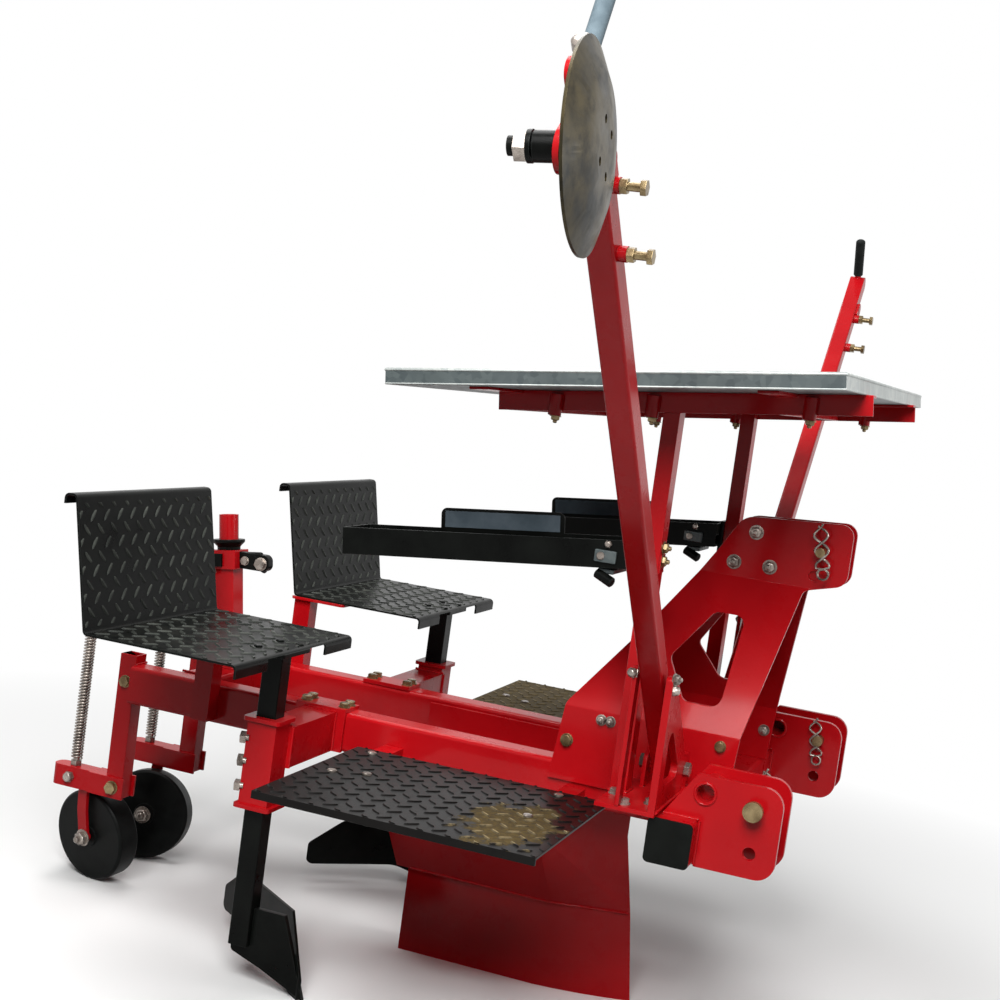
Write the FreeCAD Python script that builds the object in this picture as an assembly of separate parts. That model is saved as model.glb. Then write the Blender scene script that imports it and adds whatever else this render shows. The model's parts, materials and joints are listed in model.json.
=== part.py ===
import FreeCAD
import Part
import math
import os

from FreeCAD import Vector

# Two-seat tree planter for a tractor's three-point linkage.
# Millimetres, x forward, y to the left, z up from the ground.

# Toolbar and rails
TOOLBAR_SIZE = 80.0
TOOLBAR_WALL = 6.0
TOOLBAR_HALF = 444.0
TUBE_EDGE = 9.0
FRAME_LOW = 420.0
RAIL_OUTER = 190.0
RAIL_WIDTH = 60.0
RAIL_WALL = 5.0
RAIL_LENGTH = 1200.0
CROSS_IN = 130.0
CAP_THICK = 6.0
CAP_DEPTH = 24.0
CAP_WALL = 3.0
FIT = 0.3

# Headstock: one folded plate each side
HEAD_PLATE = 8.0
HEAD_LOW = 465.0
HEAD_REAR = -301.0
HEAD_FRONT = 182.0
HEAD_BEND_LOW = 610.0
HEAD_BEND_HIGH = 890.0
HEAD_TOP = 1022.0
HEAD_GAP = 46.0
HEAD_BEND_RADIUS = 10.0
TOP_PIN = 19.0
TOP_PIN_X = 128.0
TOP_PIN_Z = 963.0
TOP_SPARE_X = 118.0
TOP_SPARE_Z = 915.0
TOP_PIN_REACH = 31.0
SPACER_OUTER = 26.0
SPACERS = [(-2.0, 980.0), (-37.0, 917.0), (33.0, 918.0)]
PIN_FIT = 0.6
PIECE_GAP = 2.0

# Lower hitch: two plates each side of each pin
HITCH_Y = 355.0
HITCH_GAP = 76.0
HITCH_PLATE = 12.0
HITCH_FRONT = 180.0
HITCH_HIGH = 580.0
HITCH_LOW = 418.0
HITCH_PIN = 22.0
HITCH_PIN_X = 133.0
HITCH_PIN_Z = 540.0
HITCH_SPARE_Z = 461.0
HITCH_THIRD = (44.0, 548.0)
HITCH_THIRD_BORE = 30.0

# Opener shoe
SHOE_WALL = 8.0
SHOE_LOW_HALF = 45.0
SHOE_BOW = 7.0
SHOE_TOP_HALF = 118.0
SHOE_LEDGE = 175.0
SHOE_LEDGE_HALF = 50.0
SHOE_FLARE = 330.0
SHOE_TOP = 490.0
SHOE_REAR = -640.0
SHOE_NOSE = -122.0

# Shanks and covering shares
SHANK_X = -791.0
SHANK_Y = 420.0
SHANK_SIZE = 40.0
SHANK_FOOT = 78.0
SLEEVE_WALL = 9.5
SLEEVE_LOW = 345.0
SLEEVE_HIGH = 520.0
SLEEVE_FIT = 0.5
SLEEVE_FLANGE = 8.0
ARM_WIDTH = 70.0
ARM_WALL = 5.0
ARM_FLANGE = 8.0
SHARE_SIDE = 12.0
SHARE_TIP = -650.0
SHARE_HIGH = 152.0
SHARE_LEAN = 56.0
MOULD_THICK = 8.0
MOULD_REACH = 304.0
MOULD_SPREAD = 240.0

# Seats
SEAT_WIDTH = 480.0
SEAT_PLATE = 4.0
SEAT_Z = 655.0
SEAT_FRONT = -750.0
SEAT_REAR = -1060.0
SEAT_BACK = 246.0
SEAT_TILT = 11.0
SEAT_LIP = 26.0
SEAT_HOOK = 20.0
SEAT_FLANGE = 25.0
SEAT_NOTCH = 240.0
SEAT_BEND = 10.0
POST_SIZE = 40.0
POST_WALL = 4.0
POST_X = -1045.0
POST_IN = 176.0

# Footplates
FOOT_REAR = -670.0
FOOT_FRONT = -155.0
FOOT_INNER = 268.0
FOOT_OUTER = 705.0
FOOT_Z = 460.0
FOOT_PLATE = 5.0
FOOT_LIP = 14.0
BEARER_SIZE = 40.0
BEARER_WALL = 4.0
BEARER_IN = 45.0
BEARER_FRONT_IN = 90.0
BEARER_REACH = 320.0

# Depth post and press wheels
DEPTH_POST = 45.0
DEPTH_LEAN = 8.0
DEPTH_LENGTH = 216.0
DEPTH_TUBE = 42.0
YOKE_SIZE = 40.0
YOKE_Z = 640.0
LEG_SIZE = 40.0
LEG_WALL = 4.0
LEG_Y = 150.0
LEG_TOP = 520.0
WHEEL_CLEAR = 8.0
WHEEL_RADIUS = 100.0
WHEEL_WIDTH = 54.0
WHEEL_SHOULDER = 5.0
WHEEL_BACK = 86.0
WHEEL_Y = 102.0
WHEEL_TOE = 13.9
WHEEL_LEAN = 7.3
WHEEL_AXLE = 10.0
WHEEL_RUN = 0.06
SPRING_BACK = 130.0
SPRING_ROD = 7.0

# Table and seedling trays
TABLE_X = -121.0
TABLE_Z = 1226.0
TABLE_TILT = 6.8
TABLE_REAR = 445.0
TABLE_FRONT = 330.0
TABLE_HALF = 610.0
TABLE_RIM = 25.0
TABLE_SHEET = 2.0
TABLE_ANGLE = 36.0
TABLE_ANGLE_WALL = 5.0
TABLE_LEG_Y = 344.0
TABLE_LEG_DEPTH = 30.0
TABLE_LEG_WIDTH = 40.0
TABLE_LEG_WALL = 3.0
TRAY_LENGTH = 560.0
TRAY_WIDTH = 120.0
TRAY_DEPTH = 50.0
TRAY_SHEET = 3.0
TRAY_TOP = 960.0
TRAY_TILT = 6.6
TRAY_GUARD = 245.0
TRAY_GUARD_HIGH = 38.0
TRAY_BRACKET = 8.0

# Row markers
MARKER_X = -66.5
MARKER_Y = 255.0
MARKER_Z = 548.0
MARKER_ANGLE = 44.5
MARKER_SIDE = 5.5
MARKER_TUBE = 40.0
MARKER_WALL = 4.0
MARKER_LENGTH = 1340.0
MARKER_PIN = 8.0
MARKER_RUN = 0.06
MARKER_BOSS = 25.0
MARKER_BOSS_FIT = 0.5
BRACKET_BASE = 8.0
BRACKET_INNER = 228.0
BRACKET_OUTER = 460.0
BRACKET_HIGH = 745.0
GUSSET = 13.0
LUG = 8.0
BAR_FIT = 1.0
BAR_WALL = 4.0
BAR_START = 755.0
BAR_HEAD = 115.0
BAR_HEAD_STEP = 1.0
BAR_OUT = 25.0
CLAMPS = [1190.0, 1300.0]
CLAMP_RADIUS = 6.0
CLAMP_LENGTH = 44.0
GRIP_ROD = 8.0
GRIP_RADIUS = 12.0
GRIP_START = 21.0
GRIP_LENGTH = 98.0
GRIP_BEND = 72.0
DISC_ALONG = 77.0
DISC_OFFSET = 124.0
DISC_TURN = 6.0
DISC_RADIUS = 127.0
DISC_THICK = 4.0
DISC_DISH = 21.0
DISC_FLAT = 46.0
DISC_RIM_GAP = 22.5
DISC_PLATE = 8.0
DISC_PLATE_IN = 2.5
DISC_AXLE = 12.0
DISC_BUSH = 19.0
DISC_BUSH_LENGTH = 44.0
DISC_BUSH_OUT = 3.0
DISC_WASHER = 6.0
DISC_NUT = 15.0

# Sizes that follow from those above
FRAME_TOP = FRAME_LOW + TOOLBAR_SIZE
FRAME_MID = FRAME_LOW + TOOLBAR_SIZE / 2
BAR_REAR = -TOOLBAR_SIZE / 2
RAIL_REAR = BAR_REAR - RAIL_LENGTH
RAIL_INNER = RAIL_OUTER - RAIL_WIDTH
CROSS_X = RAIL_REAR + CROSS_IN
WHEEL_X = RAIL_REAR - WHEEL_BACK
SPRING_X = RAIL_REAR - SPRING_BACK
LEG_FOOT = 2 * WHEEL_RADIUS + WHEEL_CLEAR
SLEEVE_SIZE = SHANK_SIZE + 2 * (SLEEVE_FIT + SLEEVE_WALL)
MARKER_SLOT = MARKER_TUBE + 2 * MARKER_SIDE
BAR_SIZE = MARKER_TUBE - 2 * (MARKER_WALL + BAR_FIT)
BAR_HEAD_SIZE = MARKER_TUBE - 2 * BAR_HEAD_STEP
BRACKET_REAR = TABLE_X - TABLE_LEG_DEPTH / 2
HITCH_REAR = MARKER_X + MARKER_SLOT / 2 + GUSSET + PIECE_GAP

PLANES = {
    "xy": (lambda a, b, c: Vector(a, b, c), Vector(0, 0, 1)),
    "xz": (lambda a, b, c: Vector(a, c, b), Vector(0, 1, 0)),
    "yz": (lambda a, b, c: Vector(c, a, b), Vector(1, 0, 0)),
}


def outline(corners, plane, level):
    """A closed wire through (a, b) or (a, b, radius) corners."""
    put = PLANES[plane][0]
    ends = []
    for i, corner in enumerate(corners):
        here = Vector(corner[0], corner[1], 0)
        radius = corner[2] if len(corner) > 2 else 0.0
        if radius == 0.0:
            ends.append((here, here, here))
            continue
        last = corners[i - 1]
        after = corners[(i + 1) % len(corners)]
        back = (Vector(last[0], last[1], 0) - here).normalize()
        ahead = (Vector(after[0], after[1], 0) - here).normalize()
        half = math.acos(max(-1.0, min(1.0, back.dot(ahead)))) / 2
        inward = (back + ahead).normalize()
        reach = radius / math.tan(half)
        middle = here + inward * (radius / math.sin(half) - radius)
        ends.append((here + back * reach, middle, here + ahead * reach))
    edges = []
    for i, (start, middle, end) in enumerate(ends):
        if start.distanceToPoint(end) > 1e-6:
            points = [put(p.x, p.y, level) for p in (start, middle, end)]
            edges.append(Part.Arc(*points).toShape())
        following = ends[(i + 1) % len(ends)][0]
        if end.distanceToPoint(following) > 1e-6:
            start_point = put(end.x, end.y, level)
            edges.append(Part.makeLine(start_point, put(following.x, following.y, level)))
    return Part.Wire(edges)


def plate(corners, plane, low, high):
    """A plate cut to an outline and extruded square to its plane."""
    face = Part.Face(outline(corners, plane, low))
    return face.extrude(PLANES[plane][1] * (high - low))


def strip(path, thickness, bend):
    """The outline of a bent strip: the path and its copy set off to its left."""
    points = [Vector(a, b, 0) for a, b in path]
    normals = []
    for start, end in zip(points, points[1:]):
        run = (end - start).normalize()
        normals.append(Vector(-run.y, run.x, 0))
    near = []
    far = []
    last = len(points) - 1
    for i, point in enumerate(points):
        before = normals[max(i - 1, 0)]
        after = normals[min(i, last - 1)]
        shift = (before + after) * (thickness / (1 + before.dot(after)))
        turn = before.x * after.y - before.y * after.x
        inside = bend if 0 < i < last else 0.0
        outside = bend + thickness if 0 < i < last else 0.0
        near.append((point.x, point.y, outside if turn > 0 else inside))
        moved = point + shift
        far.append((moved.x, moved.y, inside if turn > 0 else outside))
    return near + far[::-1]


def block(x0, x1, y0, y1, z0, z1):
    low = Vector(min(x0, x1), min(y0, y1), min(z0, z1))
    return Part.makeBox(abs(x1 - x0), abs(y1 - y0), abs(z1 - z0), low)


def rod(start, direction, radius, length):
    return Part.makeCylinder(radius, length, Vector(*start), Vector(*direction))


def hexagon(start, direction, across, length):
    """A hexagonal head or nut, its width across flats given."""
    side = across / math.sqrt(3)
    points = []
    for i in range(7):
        turn = math.radians(60 * i)
        points.append(Vector(side * math.cos(turn), side * math.sin(turn), 0))
    shape = Part.Face(Part.makePolygon(points)).extrude(Vector(0, 0, length))
    turned = FreeCAD.Rotation(Vector(0, 0, 1), Vector(*direction))
    shape.Placement = FreeCAD.Placement(Vector(*start), turned)
    return shape


def rectangle(a, b, width, height, radius):
    a0, a1 = a - width / 2, a + width / 2
    b0, b1 = b - height / 2, b + height / 2
    return [(a0, b0, radius), (a1, b0, radius), (a1, b1, radius), (a0, b1, radius)]


def hollow(plane, centre, size, wall, low, high, edge=0.0):
    """A rectangular tube square to its plane, its outer edges rounded to a radius."""
    a, b = centre
    width, height = size
    outer = plate(rectangle(a, b, width, height, edge), plane, low, high)
    inner = rectangle(a, b, width - 2 * wall, height - 2 * wall, 0.0)
    return outer.cut(plate(inner, plane, low - 1, high + 1))


def fuse(first, *others):
    return first.fuse(list(others)).removeSplitter()


def left(shape):
    """The same piece on the left side."""
    return shape.mirror(Vector(0, 0, 0), Vector(0, 1, 0))


def pair(shape):
    return Part.makeCompound([shape, left(shape)])


pieces = {}


# ---- main frame
pieces["toolbar"] = hollow(
    "xz", (0, FRAME_MID), (TOOLBAR_SIZE, TOOLBAR_SIZE), TOOLBAR_WALL,
    -TOOLBAR_HALF, TOOLBAR_HALF, TUBE_EDGE)

cap_inside = TOOLBAR_SIZE - 2 * TOOLBAR_WALL - 2 * FIT
cap = plate(rectangle(0, FRAME_MID, TOOLBAR_SIZE, TOOLBAR_SIZE, TUBE_EDGE), "xz",
            -TOOLBAR_HALF - CAP_THICK, -TOOLBAR_HALF)
plug = plate(rectangle(0, FRAME_MID, cap_inside, cap_inside, 0.0), "xz",
             -TOOLBAR_HALF, -TOOLBAR_HALF + CAP_DEPTH)
plug_hollow = block(-cap_inside / 2 + CAP_WALL, cap_inside / 2 - CAP_WALL,
                    -TOOLBAR_HALF, -TOOLBAR_HALF + CAP_DEPTH + 1,
                    FRAME_MID - cap_inside / 2 + CAP_WALL,
                    FRAME_MID + cap_inside / 2 - CAP_WALL)
pieces["toolbar_end_caps"] = pair(fuse(cap, plug).cut(plug_hollow))

rail = hollow("yz", (-(RAIL_OUTER + RAIL_INNER) / 2, FRAME_MID), (RAIL_WIDTH, TOOLBAR_SIZE),
              RAIL_WALL, RAIL_REAR, BAR_REAR, TUBE_EDGE)
pieces["rails"] = pair(rail)
pieces["rear_cross_tube"] = hollow(
    "xz", (CROSS_X, FRAME_MID), (TOOLBAR_SIZE, TOOLBAR_SIZE), RAIL_WALL,
    -RAIL_INNER, RAIL_INNER, TUBE_EDGE)


# ---- headstock, each side one plate folded inwards and then upright
head_foot = -(RAIL_OUTER + HEAD_PLATE)
head_ear = -(HEAD_GAP / 2 + HEAD_PLATE)
fold = [(head_foot, HEAD_LOW), (head_foot, HEAD_BEND_LOW),
        (head_ear, HEAD_BEND_HIGH), (head_ear, HEAD_TOP)]
folded = plate(strip(fold, -HEAD_PLATE, HEAD_BEND_RADIUS), "yz",
               HEAD_REAR, HEAD_FRONT)
side = [(HEAD_REAR, HEAD_LOW), (HEAD_REAR + 16, 615, 30), (-194, 744, 60), (-149, 813, 60),
        (-70, 938, 60), (-30, 1008, 40), (HEAD_FRONT, HEAD_TOP, 24),
        (HEAD_FRONT, 905, 26), (104, 884, 14), (54, 612, 20), (46, FRAME_TOP),
        (BAR_REAR, FRAME_TOP), (BAR_REAR, HEAD_LOW)]
window = [(-114, 727, 14), (-50, 820, 18), (9, 820, 18), (2, 655, 20), (-68, 655, 18)]
head = folded.common(plate(side, "xz", head_foot - 1, 0))
head = head.cut(plate(window, "xz", head_foot - 1, 0))
for x, z, bore in ((TOP_PIN_X, TOP_PIN_Z, TOP_PIN), (TOP_SPARE_X, TOP_SPARE_Z, TOP_PIN)):
    head = head.cut(rod((x, head_foot, z), (0, 1, 0), (bore + PIN_FIT) / 2, 200))
pieces["headstock_plate_right"] = head
pieces["headstock_plate_left"] = left(head)

spacers = []
for x, z in SPACERS:
    spacers.append(rod((x, -HEAD_GAP / 2, z), (0, 1, 0), SPACER_OUTER / 2, HEAD_GAP))
pieces["headstock_spacers"] = Part.makeCompound(spacers)

pin_half = HEAD_GAP / 2 + HEAD_PLATE + TOP_PIN_REACH
pin = rod((TOP_PIN_X, -pin_half, TOP_PIN_Z), (0, 1, 0), TOP_PIN / 2, 2 * pin_half)
pin_head = rod((TOP_PIN_X, pin_half - 2, TOP_PIN_Z), (0, 1, 0), TOP_PIN * 0.8, 12)
pieces["top_link_pin"] = fuse(pin, pin_head)


# ---- lower hitch
hitch_side = [(HITCH_REAR, FRAME_TOP), (27, HITCH_HIGH), (HITCH_FRONT, HITCH_HIGH, 34),
              (HITCH_FRONT, HITCH_LOW, 34), (-BAR_REAR, HITCH_LOW), (-BAR_REAR, FRAME_TOP)]
hitch = []
for centre in (-HITCH_Y - HITCH_GAP / 2 - HITCH_PLATE, -HITCH_Y + HITCH_GAP / 2):
    ear = plate(hitch_side, "xz", centre, centre + HITCH_PLATE)
    for x, z, bore in ((HITCH_PIN_X, HITCH_PIN_Z, HITCH_PIN + PIN_FIT),
                       (HITCH_PIN_X, HITCH_SPARE_Z, HITCH_PIN + PIN_FIT),
                       HITCH_THIRD + (HITCH_THIRD_BORE,)):
        ear = ear.cut(rod((x, centre - 1, z), (0, 1, 0), bore / 2, HITCH_PLATE + 2))
    hitch.append(ear)
pieces["hitch_plates"] = Part.makeCompound(hitch + [left(ear) for ear in hitch])

hitch_pin_low = -HITCH_Y - HITCH_GAP / 2 - HITCH_PLATE - 22
hitch_pin_long = HITCH_GAP + 2 * HITCH_PLATE + 44
pin = rod((HITCH_PIN_X, hitch_pin_low, HITCH_PIN_Z), (0, 1, 0), HITCH_PIN / 2, hitch_pin_long)
pin_head = rod((HITCH_PIN_X, hitch_pin_low - 6, HITCH_PIN_Z), (0, 1, 0), HITCH_PIN * 0.8, 12)
pieces["hitch_pins"] = pair(fuse(pin, pin_head))


# ---- opener shoe: a narrow keel below, a flared hopper above, open behind
def shoe_shell(levels, inset, rear_extra, bow):
    """A flat-faced solid through plan outlines, each a nose, bowed cheeks and a square rear."""
    rings = []
    for nose, shoulder, half, rear, level in levels:
        side = half - inset
        tip = nose - 2.5 * inset
        cheek = []
        for step in (0.25, 0.5, 0.75) if bow else ():
            swell = bow * 4 * step * (1 - step)
            cheek.append((tip + (shoulder - tip) * step, side * step + swell))
        cheek.append((shoulder, side))
        cheek.append((rear - rear_extra, side))
        mirrored = [(a, -b) for a, b in reversed(cheek)]
        rings.append([Vector(a, b, level) for a, b in [(tip, 0)] + cheek + mirrored])
    faces = [Part.Face(Part.makePolygon(ring + ring[:1])) for ring in (rings[0], rings[-1])]
    for lower, upper in zip(rings, rings[1:]):
        for i, start in enumerate(lower):
            j = (i + 1) % len(lower)
            end = lower[j]
            if end.x > start.x:
                halves = [(start, end, upper[i]), (end, upper[j], upper[i])]
            else:
                halves = [(start, end, upper[j]), (start, upper[j], upper[i])]
            faces += [Part.Face(Part.makePolygon([*half, half[0]])) for half in halves]
    shell = Part.makeShell(faces)
    shell.sewShape()
    return Part.Solid(shell).removeSplitter()


keel = [(SHOE_NOSE, -317.0, SHOE_LOW_HALF, SHOE_REAR + 25, 0.0),
        (SHOE_NOSE - 24, -310.0, SHOE_LOW_HALF, SHOE_REAR + 25, SHOE_LEDGE)]
hopper = [(SHOE_NOSE - 24, -300.0, SHOE_LEDGE_HALF, SHOE_REAR, SHOE_LEDGE),
          (SHOE_NOSE - 52, -330.0, SHOE_TOP_HALF, SHOE_REAR - 30, SHOE_FLARE),
          (SHOE_NOSE - 52, -330.0, SHOE_TOP_HALF, SHOE_REAR - 34, SHOE_TOP)]
keel_inner = [row[:4] + (level,) for row, level in zip(keel, (-1.0, SHOE_LEDGE + SHOE_WALL + 1))]
hopper_inner = [row[:4] + (level,) for row, level in
                zip(hopper, (SHOE_LEDGE + SHOE_WALL, SHOE_FLARE, SHOE_TOP + 1))]
shoe = fuse(shoe_shell(keel, 0.0, 0.0, SHOE_BOW), shoe_shell(hopper, 0.0, 0.0, 0.0))
shoe = shoe.cut(shoe_shell(keel_inner, SHOE_WALL, 60.0, SHOE_BOW))
shoe = shoe.cut(shoe_shell(hopper_inner, SHOE_WALL, 60.0, 0.0))
pieces["opener_shoe"] = shoe

mounts = []
for x in (-400.0, -590.0):
    mounts.append(block(x - 30, x + 30, -RAIL_INNER, -SHOE_TOP_HALF,
                        FRAME_LOW + 12, SHOE_TOP - 12))
pieces["shoe_mounts"] = Part.makeCompound(mounts + [left(mount) for mount in mounts])


# ---- shank arms, shanks and covering shares
sleeve_y = -SHANK_Y
sleeve_bore = SHANK_SIZE + 2 * SLEEVE_FIT
sleeve = block(SHANK_X - SLEEVE_SIZE / 2, SHANK_X + SLEEVE_SIZE / 2,
               sleeve_y - SLEEVE_SIZE / 2, sleeve_y + SLEEVE_SIZE / 2, SLEEVE_LOW, SLEEVE_HIGH)
flanges = []
for z in (SLEEVE_LOW, SLEEVE_HIGH - SLEEVE_FLANGE):
    flanges.append(plate(rectangle(SHANK_X, sleeve_y, SLEEVE_SIZE + 16, SLEEVE_SIZE + 16, 8.0),
                         "xy", z, z + SLEEVE_FLANGE))
cross = hollow("xz", (SHANK_X, FRAME_MID), (ARM_WIDTH, TOOLBAR_SIZE), ARM_WALL,
               sleeve_y + SLEEVE_SIZE / 2 - 1, -RAIL_OUTER - 1)
flange = block(SHANK_X - 55, SHANK_X + 55, -RAIL_OUTER - ARM_FLANGE, -RAIL_OUTER,
               FRAME_LOW, FRAME_TOP + ARM_FLANGE)
saddle = block(SHANK_X - 55, SHANK_X + 55, -RAIL_OUTER - ARM_FLANGE, -RAIL_INNER,
               FRAME_TOP, FRAME_TOP + ARM_FLANGE)
arm = fuse(sleeve, cross, flange, saddle, *flanges)
arm = arm.cut(block(SHANK_X - sleeve_bore / 2, SHANK_X + sleeve_bore / 2,
                    sleeve_y - sleeve_bore / 2, sleeve_y + sleeve_bore / 2,
                    SLEEVE_LOW - 1, SLEEVE_HIGH + 1))
pieces["shank_arms"] = pair(arm)

shank_top = SEAT_Z - SEAT_PLATE - 8
shank = plate(rectangle(SHANK_X, sleeve_y, SHANK_SIZE, SHANK_SIZE, 3.0), "xy",
              SHANK_FOOT, shank_top)
shank_plate = plate(rectangle(SHANK_X, sleeve_y, 80, 120, 10.0), "xy", shank_top, shank_top + 8)
pieces["shanks"] = pair(fuse(shank, shank_plate))

# each share is a side plate in front of the shank and a mould plate turned inwards
share_out = sleeve_y - SHARE_SIDE / 2
side_face = [(SHANK_X - SHANK_SIZE / 2, SHANK_FOOT - 16, 10), (SHANK_X + 46, 40, 60),
             (SHARE_TIP, 0), (SHARE_TIP - SHARE_LEAN, SHARE_HIGH), (SHANK_X, SHARE_HIGH),
             (SHANK_X, SHANK_FOOT), (SHANK_X - SHANK_SIZE / 2, SHANK_FOOT)]
side_plate = plate(side_face, "xz", share_out, share_out + SHARE_SIDE).cut(shank)
mould_end = (SHARE_TIP - MOULD_REACH, share_out + MOULD_SPREAD)
mould_top = strip([(SHARE_TIP - 6, share_out + 4), mould_end], MOULD_THICK, 0.0)
mould = plate(mould_top, "xy", 0.0, SHARE_HIGH)
mould_face = [(SHARE_TIP + 10, 0.0), (SHARE_TIP - SHARE_LEAN, SHARE_HIGH),
              (SHARE_TIP - 240, SHARE_HIGH, 30), (mould_end[0] + 1, 96, 14),
              (mould_end[0] + 1, 46, 14), (SHARE_TIP - 138, 50, 60), (SHARE_TIP - 40, 0.0, 40)]
mould = mould.common(plate(mould_face, "xz", share_out - 10, mould_end[1] + 20))
share = fuse(side_plate, mould)
pieces["share_right"] = share
pieces["share_left"] = left(share)


# ---- seats
tilt = math.radians(SEAT_TILT)
back_x = SEAT_REAR - SEAT_BACK * math.tan(tilt)
lip_x = back_x - SEAT_LIP
seat_high = SEAT_Z + SEAT_BACK
seat_path = [(lip_x, seat_high - SEAT_HOOK), (lip_x, seat_high), (back_x, seat_high),
             (SEAT_REAR, SEAT_Z), (SEAT_FRONT, SEAT_Z), (SEAT_FRONT, SEAT_Z - SEAT_FLANGE)]
seat_in = -SHANK_Y + SEAT_WIDTH / 2
seat_out = -SHANK_Y - SEAT_WIDTH / 2
seat = plate(strip(seat_path, -SEAT_PLATE, SEAT_BEND), "xz", seat_out, seat_in)
seat = seat.cut(block(SEAT_FRONT - SEAT_BEND * 1.5, SEAT_FRONT + 5,
                      -SHANK_Y - SEAT_NOTCH / 2, -SHANK_Y + SEAT_NOTCH / 2,
                      SEAT_Z - SEAT_FLANGE - 1, SEAT_Z - SEAT_PLATE))
pieces["seat_right"] = seat
pieces["seat_left"] = left(seat)

post_top = SEAT_Z - SEAT_PLATE - 6
post_y = RAIL_OUTER + POST_SIZE / 2
post = hollow("xy", (POST_X, -post_y), (POST_SIZE, POST_SIZE), POST_WALL,
              FRAME_LOW + 10, post_top)
post_arm = plate([(POST_X - 24, -RAIL_OUTER - POST_SIZE - 8, 10), (POST_X + 108, -POST_IN - 90, 10),
                  (POST_X + 108, -POST_IN, 10), (POST_X - 24, -POST_IN, 10)],
                 "xy", post_top, post_top + 6)
pieces["seat_posts"] = pair(fuse(post, post_arm))


# ---- footplates on bearers from the rails
foot = block(FOOT_REAR, FOOT_FRONT, -FOOT_OUTER, -FOOT_INNER, FOOT_Z - FOOT_PLATE, FOOT_Z)
lip = block(FOOT_REAR, FOOT_FRONT, -FOOT_OUTER, -FOOT_OUTER + FOOT_PLATE,
            FOOT_Z - FOOT_LIP, FOOT_Z)
pieces["footplates"] = pair(fuse(foot, lip))

bearers = []
for x in (FOOT_REAR + BEARER_IN, FOOT_FRONT - BEARER_FRONT_IN):
    bearers.append(hollow("xz", (x, FOOT_Z - FOOT_PLATE - BEARER_SIZE / 2),
                          (BEARER_SIZE, BEARER_SIZE), BEARER_WALL,
                          -RAIL_OUTER - BEARER_REACH, -RAIL_OUTER))
pieces["footplate_bearers"] = Part.makeCompound(bearers + [left(bearer) for bearer in bearers])


# ---- depth post, leaning back on the rear cross tube
def lean(shape):
    turned = shape.copy()
    turned.rotate(Vector(CROSS_X, 0, FRAME_TOP), Vector(0, 1, 0), -DEPTH_LEAN)
    return turned


post = lean(hollow("xy", (CROSS_X, 0), (DEPTH_POST, DEPTH_POST), 4.0,
                   FRAME_TOP - 20, FRAME_TOP + DEPTH_LENGTH))
above = block(CROSS_X - 200, CROSS_X + 100, -100, 100, FRAME_TOP, FRAME_TOP + 600)
pieces["depth_post"] = post.common(above)

clamp_low = FRAME_TOP + DEPTH_LENGTH
clamp = block(CROSS_X - 31, CROSS_X + 31, -31, 31, clamp_low, clamp_low + 41)
neck = rod((CROSS_X, 0, clamp_low + 41), (0, 0, 1), DEPTH_TUBE / 2, 77)
neck = neck.cut(rod((CROSS_X, 0, clamp_low + 60), (0, 0, 1), DEPTH_TUBE / 2 - 4, 60))
pieces["depth_clamp"] = lean(fuse(clamp, neck))

collar = Part.makeCone(DEPTH_TUBE / 2 + 4, DEPTH_TUBE / 2 + 14, 10,
                       Vector(CROSS_X, 0, clamp_low + 48))
collar = collar.fuse(rod((CROSS_X, 0, clamp_low + 58), (0, 0, 1), DEPTH_TUBE / 2 + 14, 6))
collar = collar.fuse(rod((CROSS_X, 0, clamp_low + 41), (0, 0, 1), DEPTH_TUBE / 2 + 4, 8))
collar = collar.cut(rod((CROSS_X, 0, clamp_low + 40), (0, 0, 1), DEPTH_TUBE / 2, 40))
lever = plate([(CROSS_X + 31, clamp_low + 2), (CROSS_X + 31, clamp_low + 38),
               (CROSS_X + 102, clamp_low + 30, 14), (CROSS_X + 102, clamp_low - 6, 14),
               (CROSS_X + 64, clamp_low - 2, 10)], "xz", -11, 11)
lever = lever.cut(rod((CROSS_X + 84, -20, clamp_low + 12), (0, 1, 0), 8.0, 40))
pad = block(CROSS_X - 26, CROSS_X + 2, -39, -31, clamp_low + 6, clamp_low + 34)
pieces["depth_lever"] = lean(Part.makeCompound([collar.removeSplitter(), lever, pad]))

spring_y = LEG_Y
yoke_front = CROSS_X - DEPTH_POST / 2 - 26
yoke_arm = block(SPRING_X, yoke_front + 8, -YOKE_SIZE / 2, YOKE_SIZE / 2, YOKE_Z, YOKE_Z + 30)
yoke_bar = block(SPRING_X - 20, SPRING_X + 20, -spring_y - 22, spring_y + 22, YOKE_Z, YOKE_Z + 30)
yoke = fuse(yoke_arm, yoke_bar)
yoke = yoke.cut(lean(block(CROSS_X - DEPTH_POST / 2, CROSS_X + 100, -50, 50,
                           FRAME_TOP - 20, FRAME_TOP + 400)))
for y in (-spring_y, spring_y):
    yoke = yoke.cut(rod((SPRING_X, y, YOKE_Z - 1), (0, 0, 1), SPRING_ROD + FIT, 40))
pieces["wheel_yoke"] = yoke


# ---- press wheel legs, carriers and sprung rods
leg_x = RAIL_REAR - LEG_SIZE / 2
pieces["wheel_legs"] = pair(hollow("xy", (leg_x, -LEG_Y), (LEG_SIZE, LEG_SIZE), LEG_WALL,
                                   LEG_FOOT, LEG_TOP))

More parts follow.
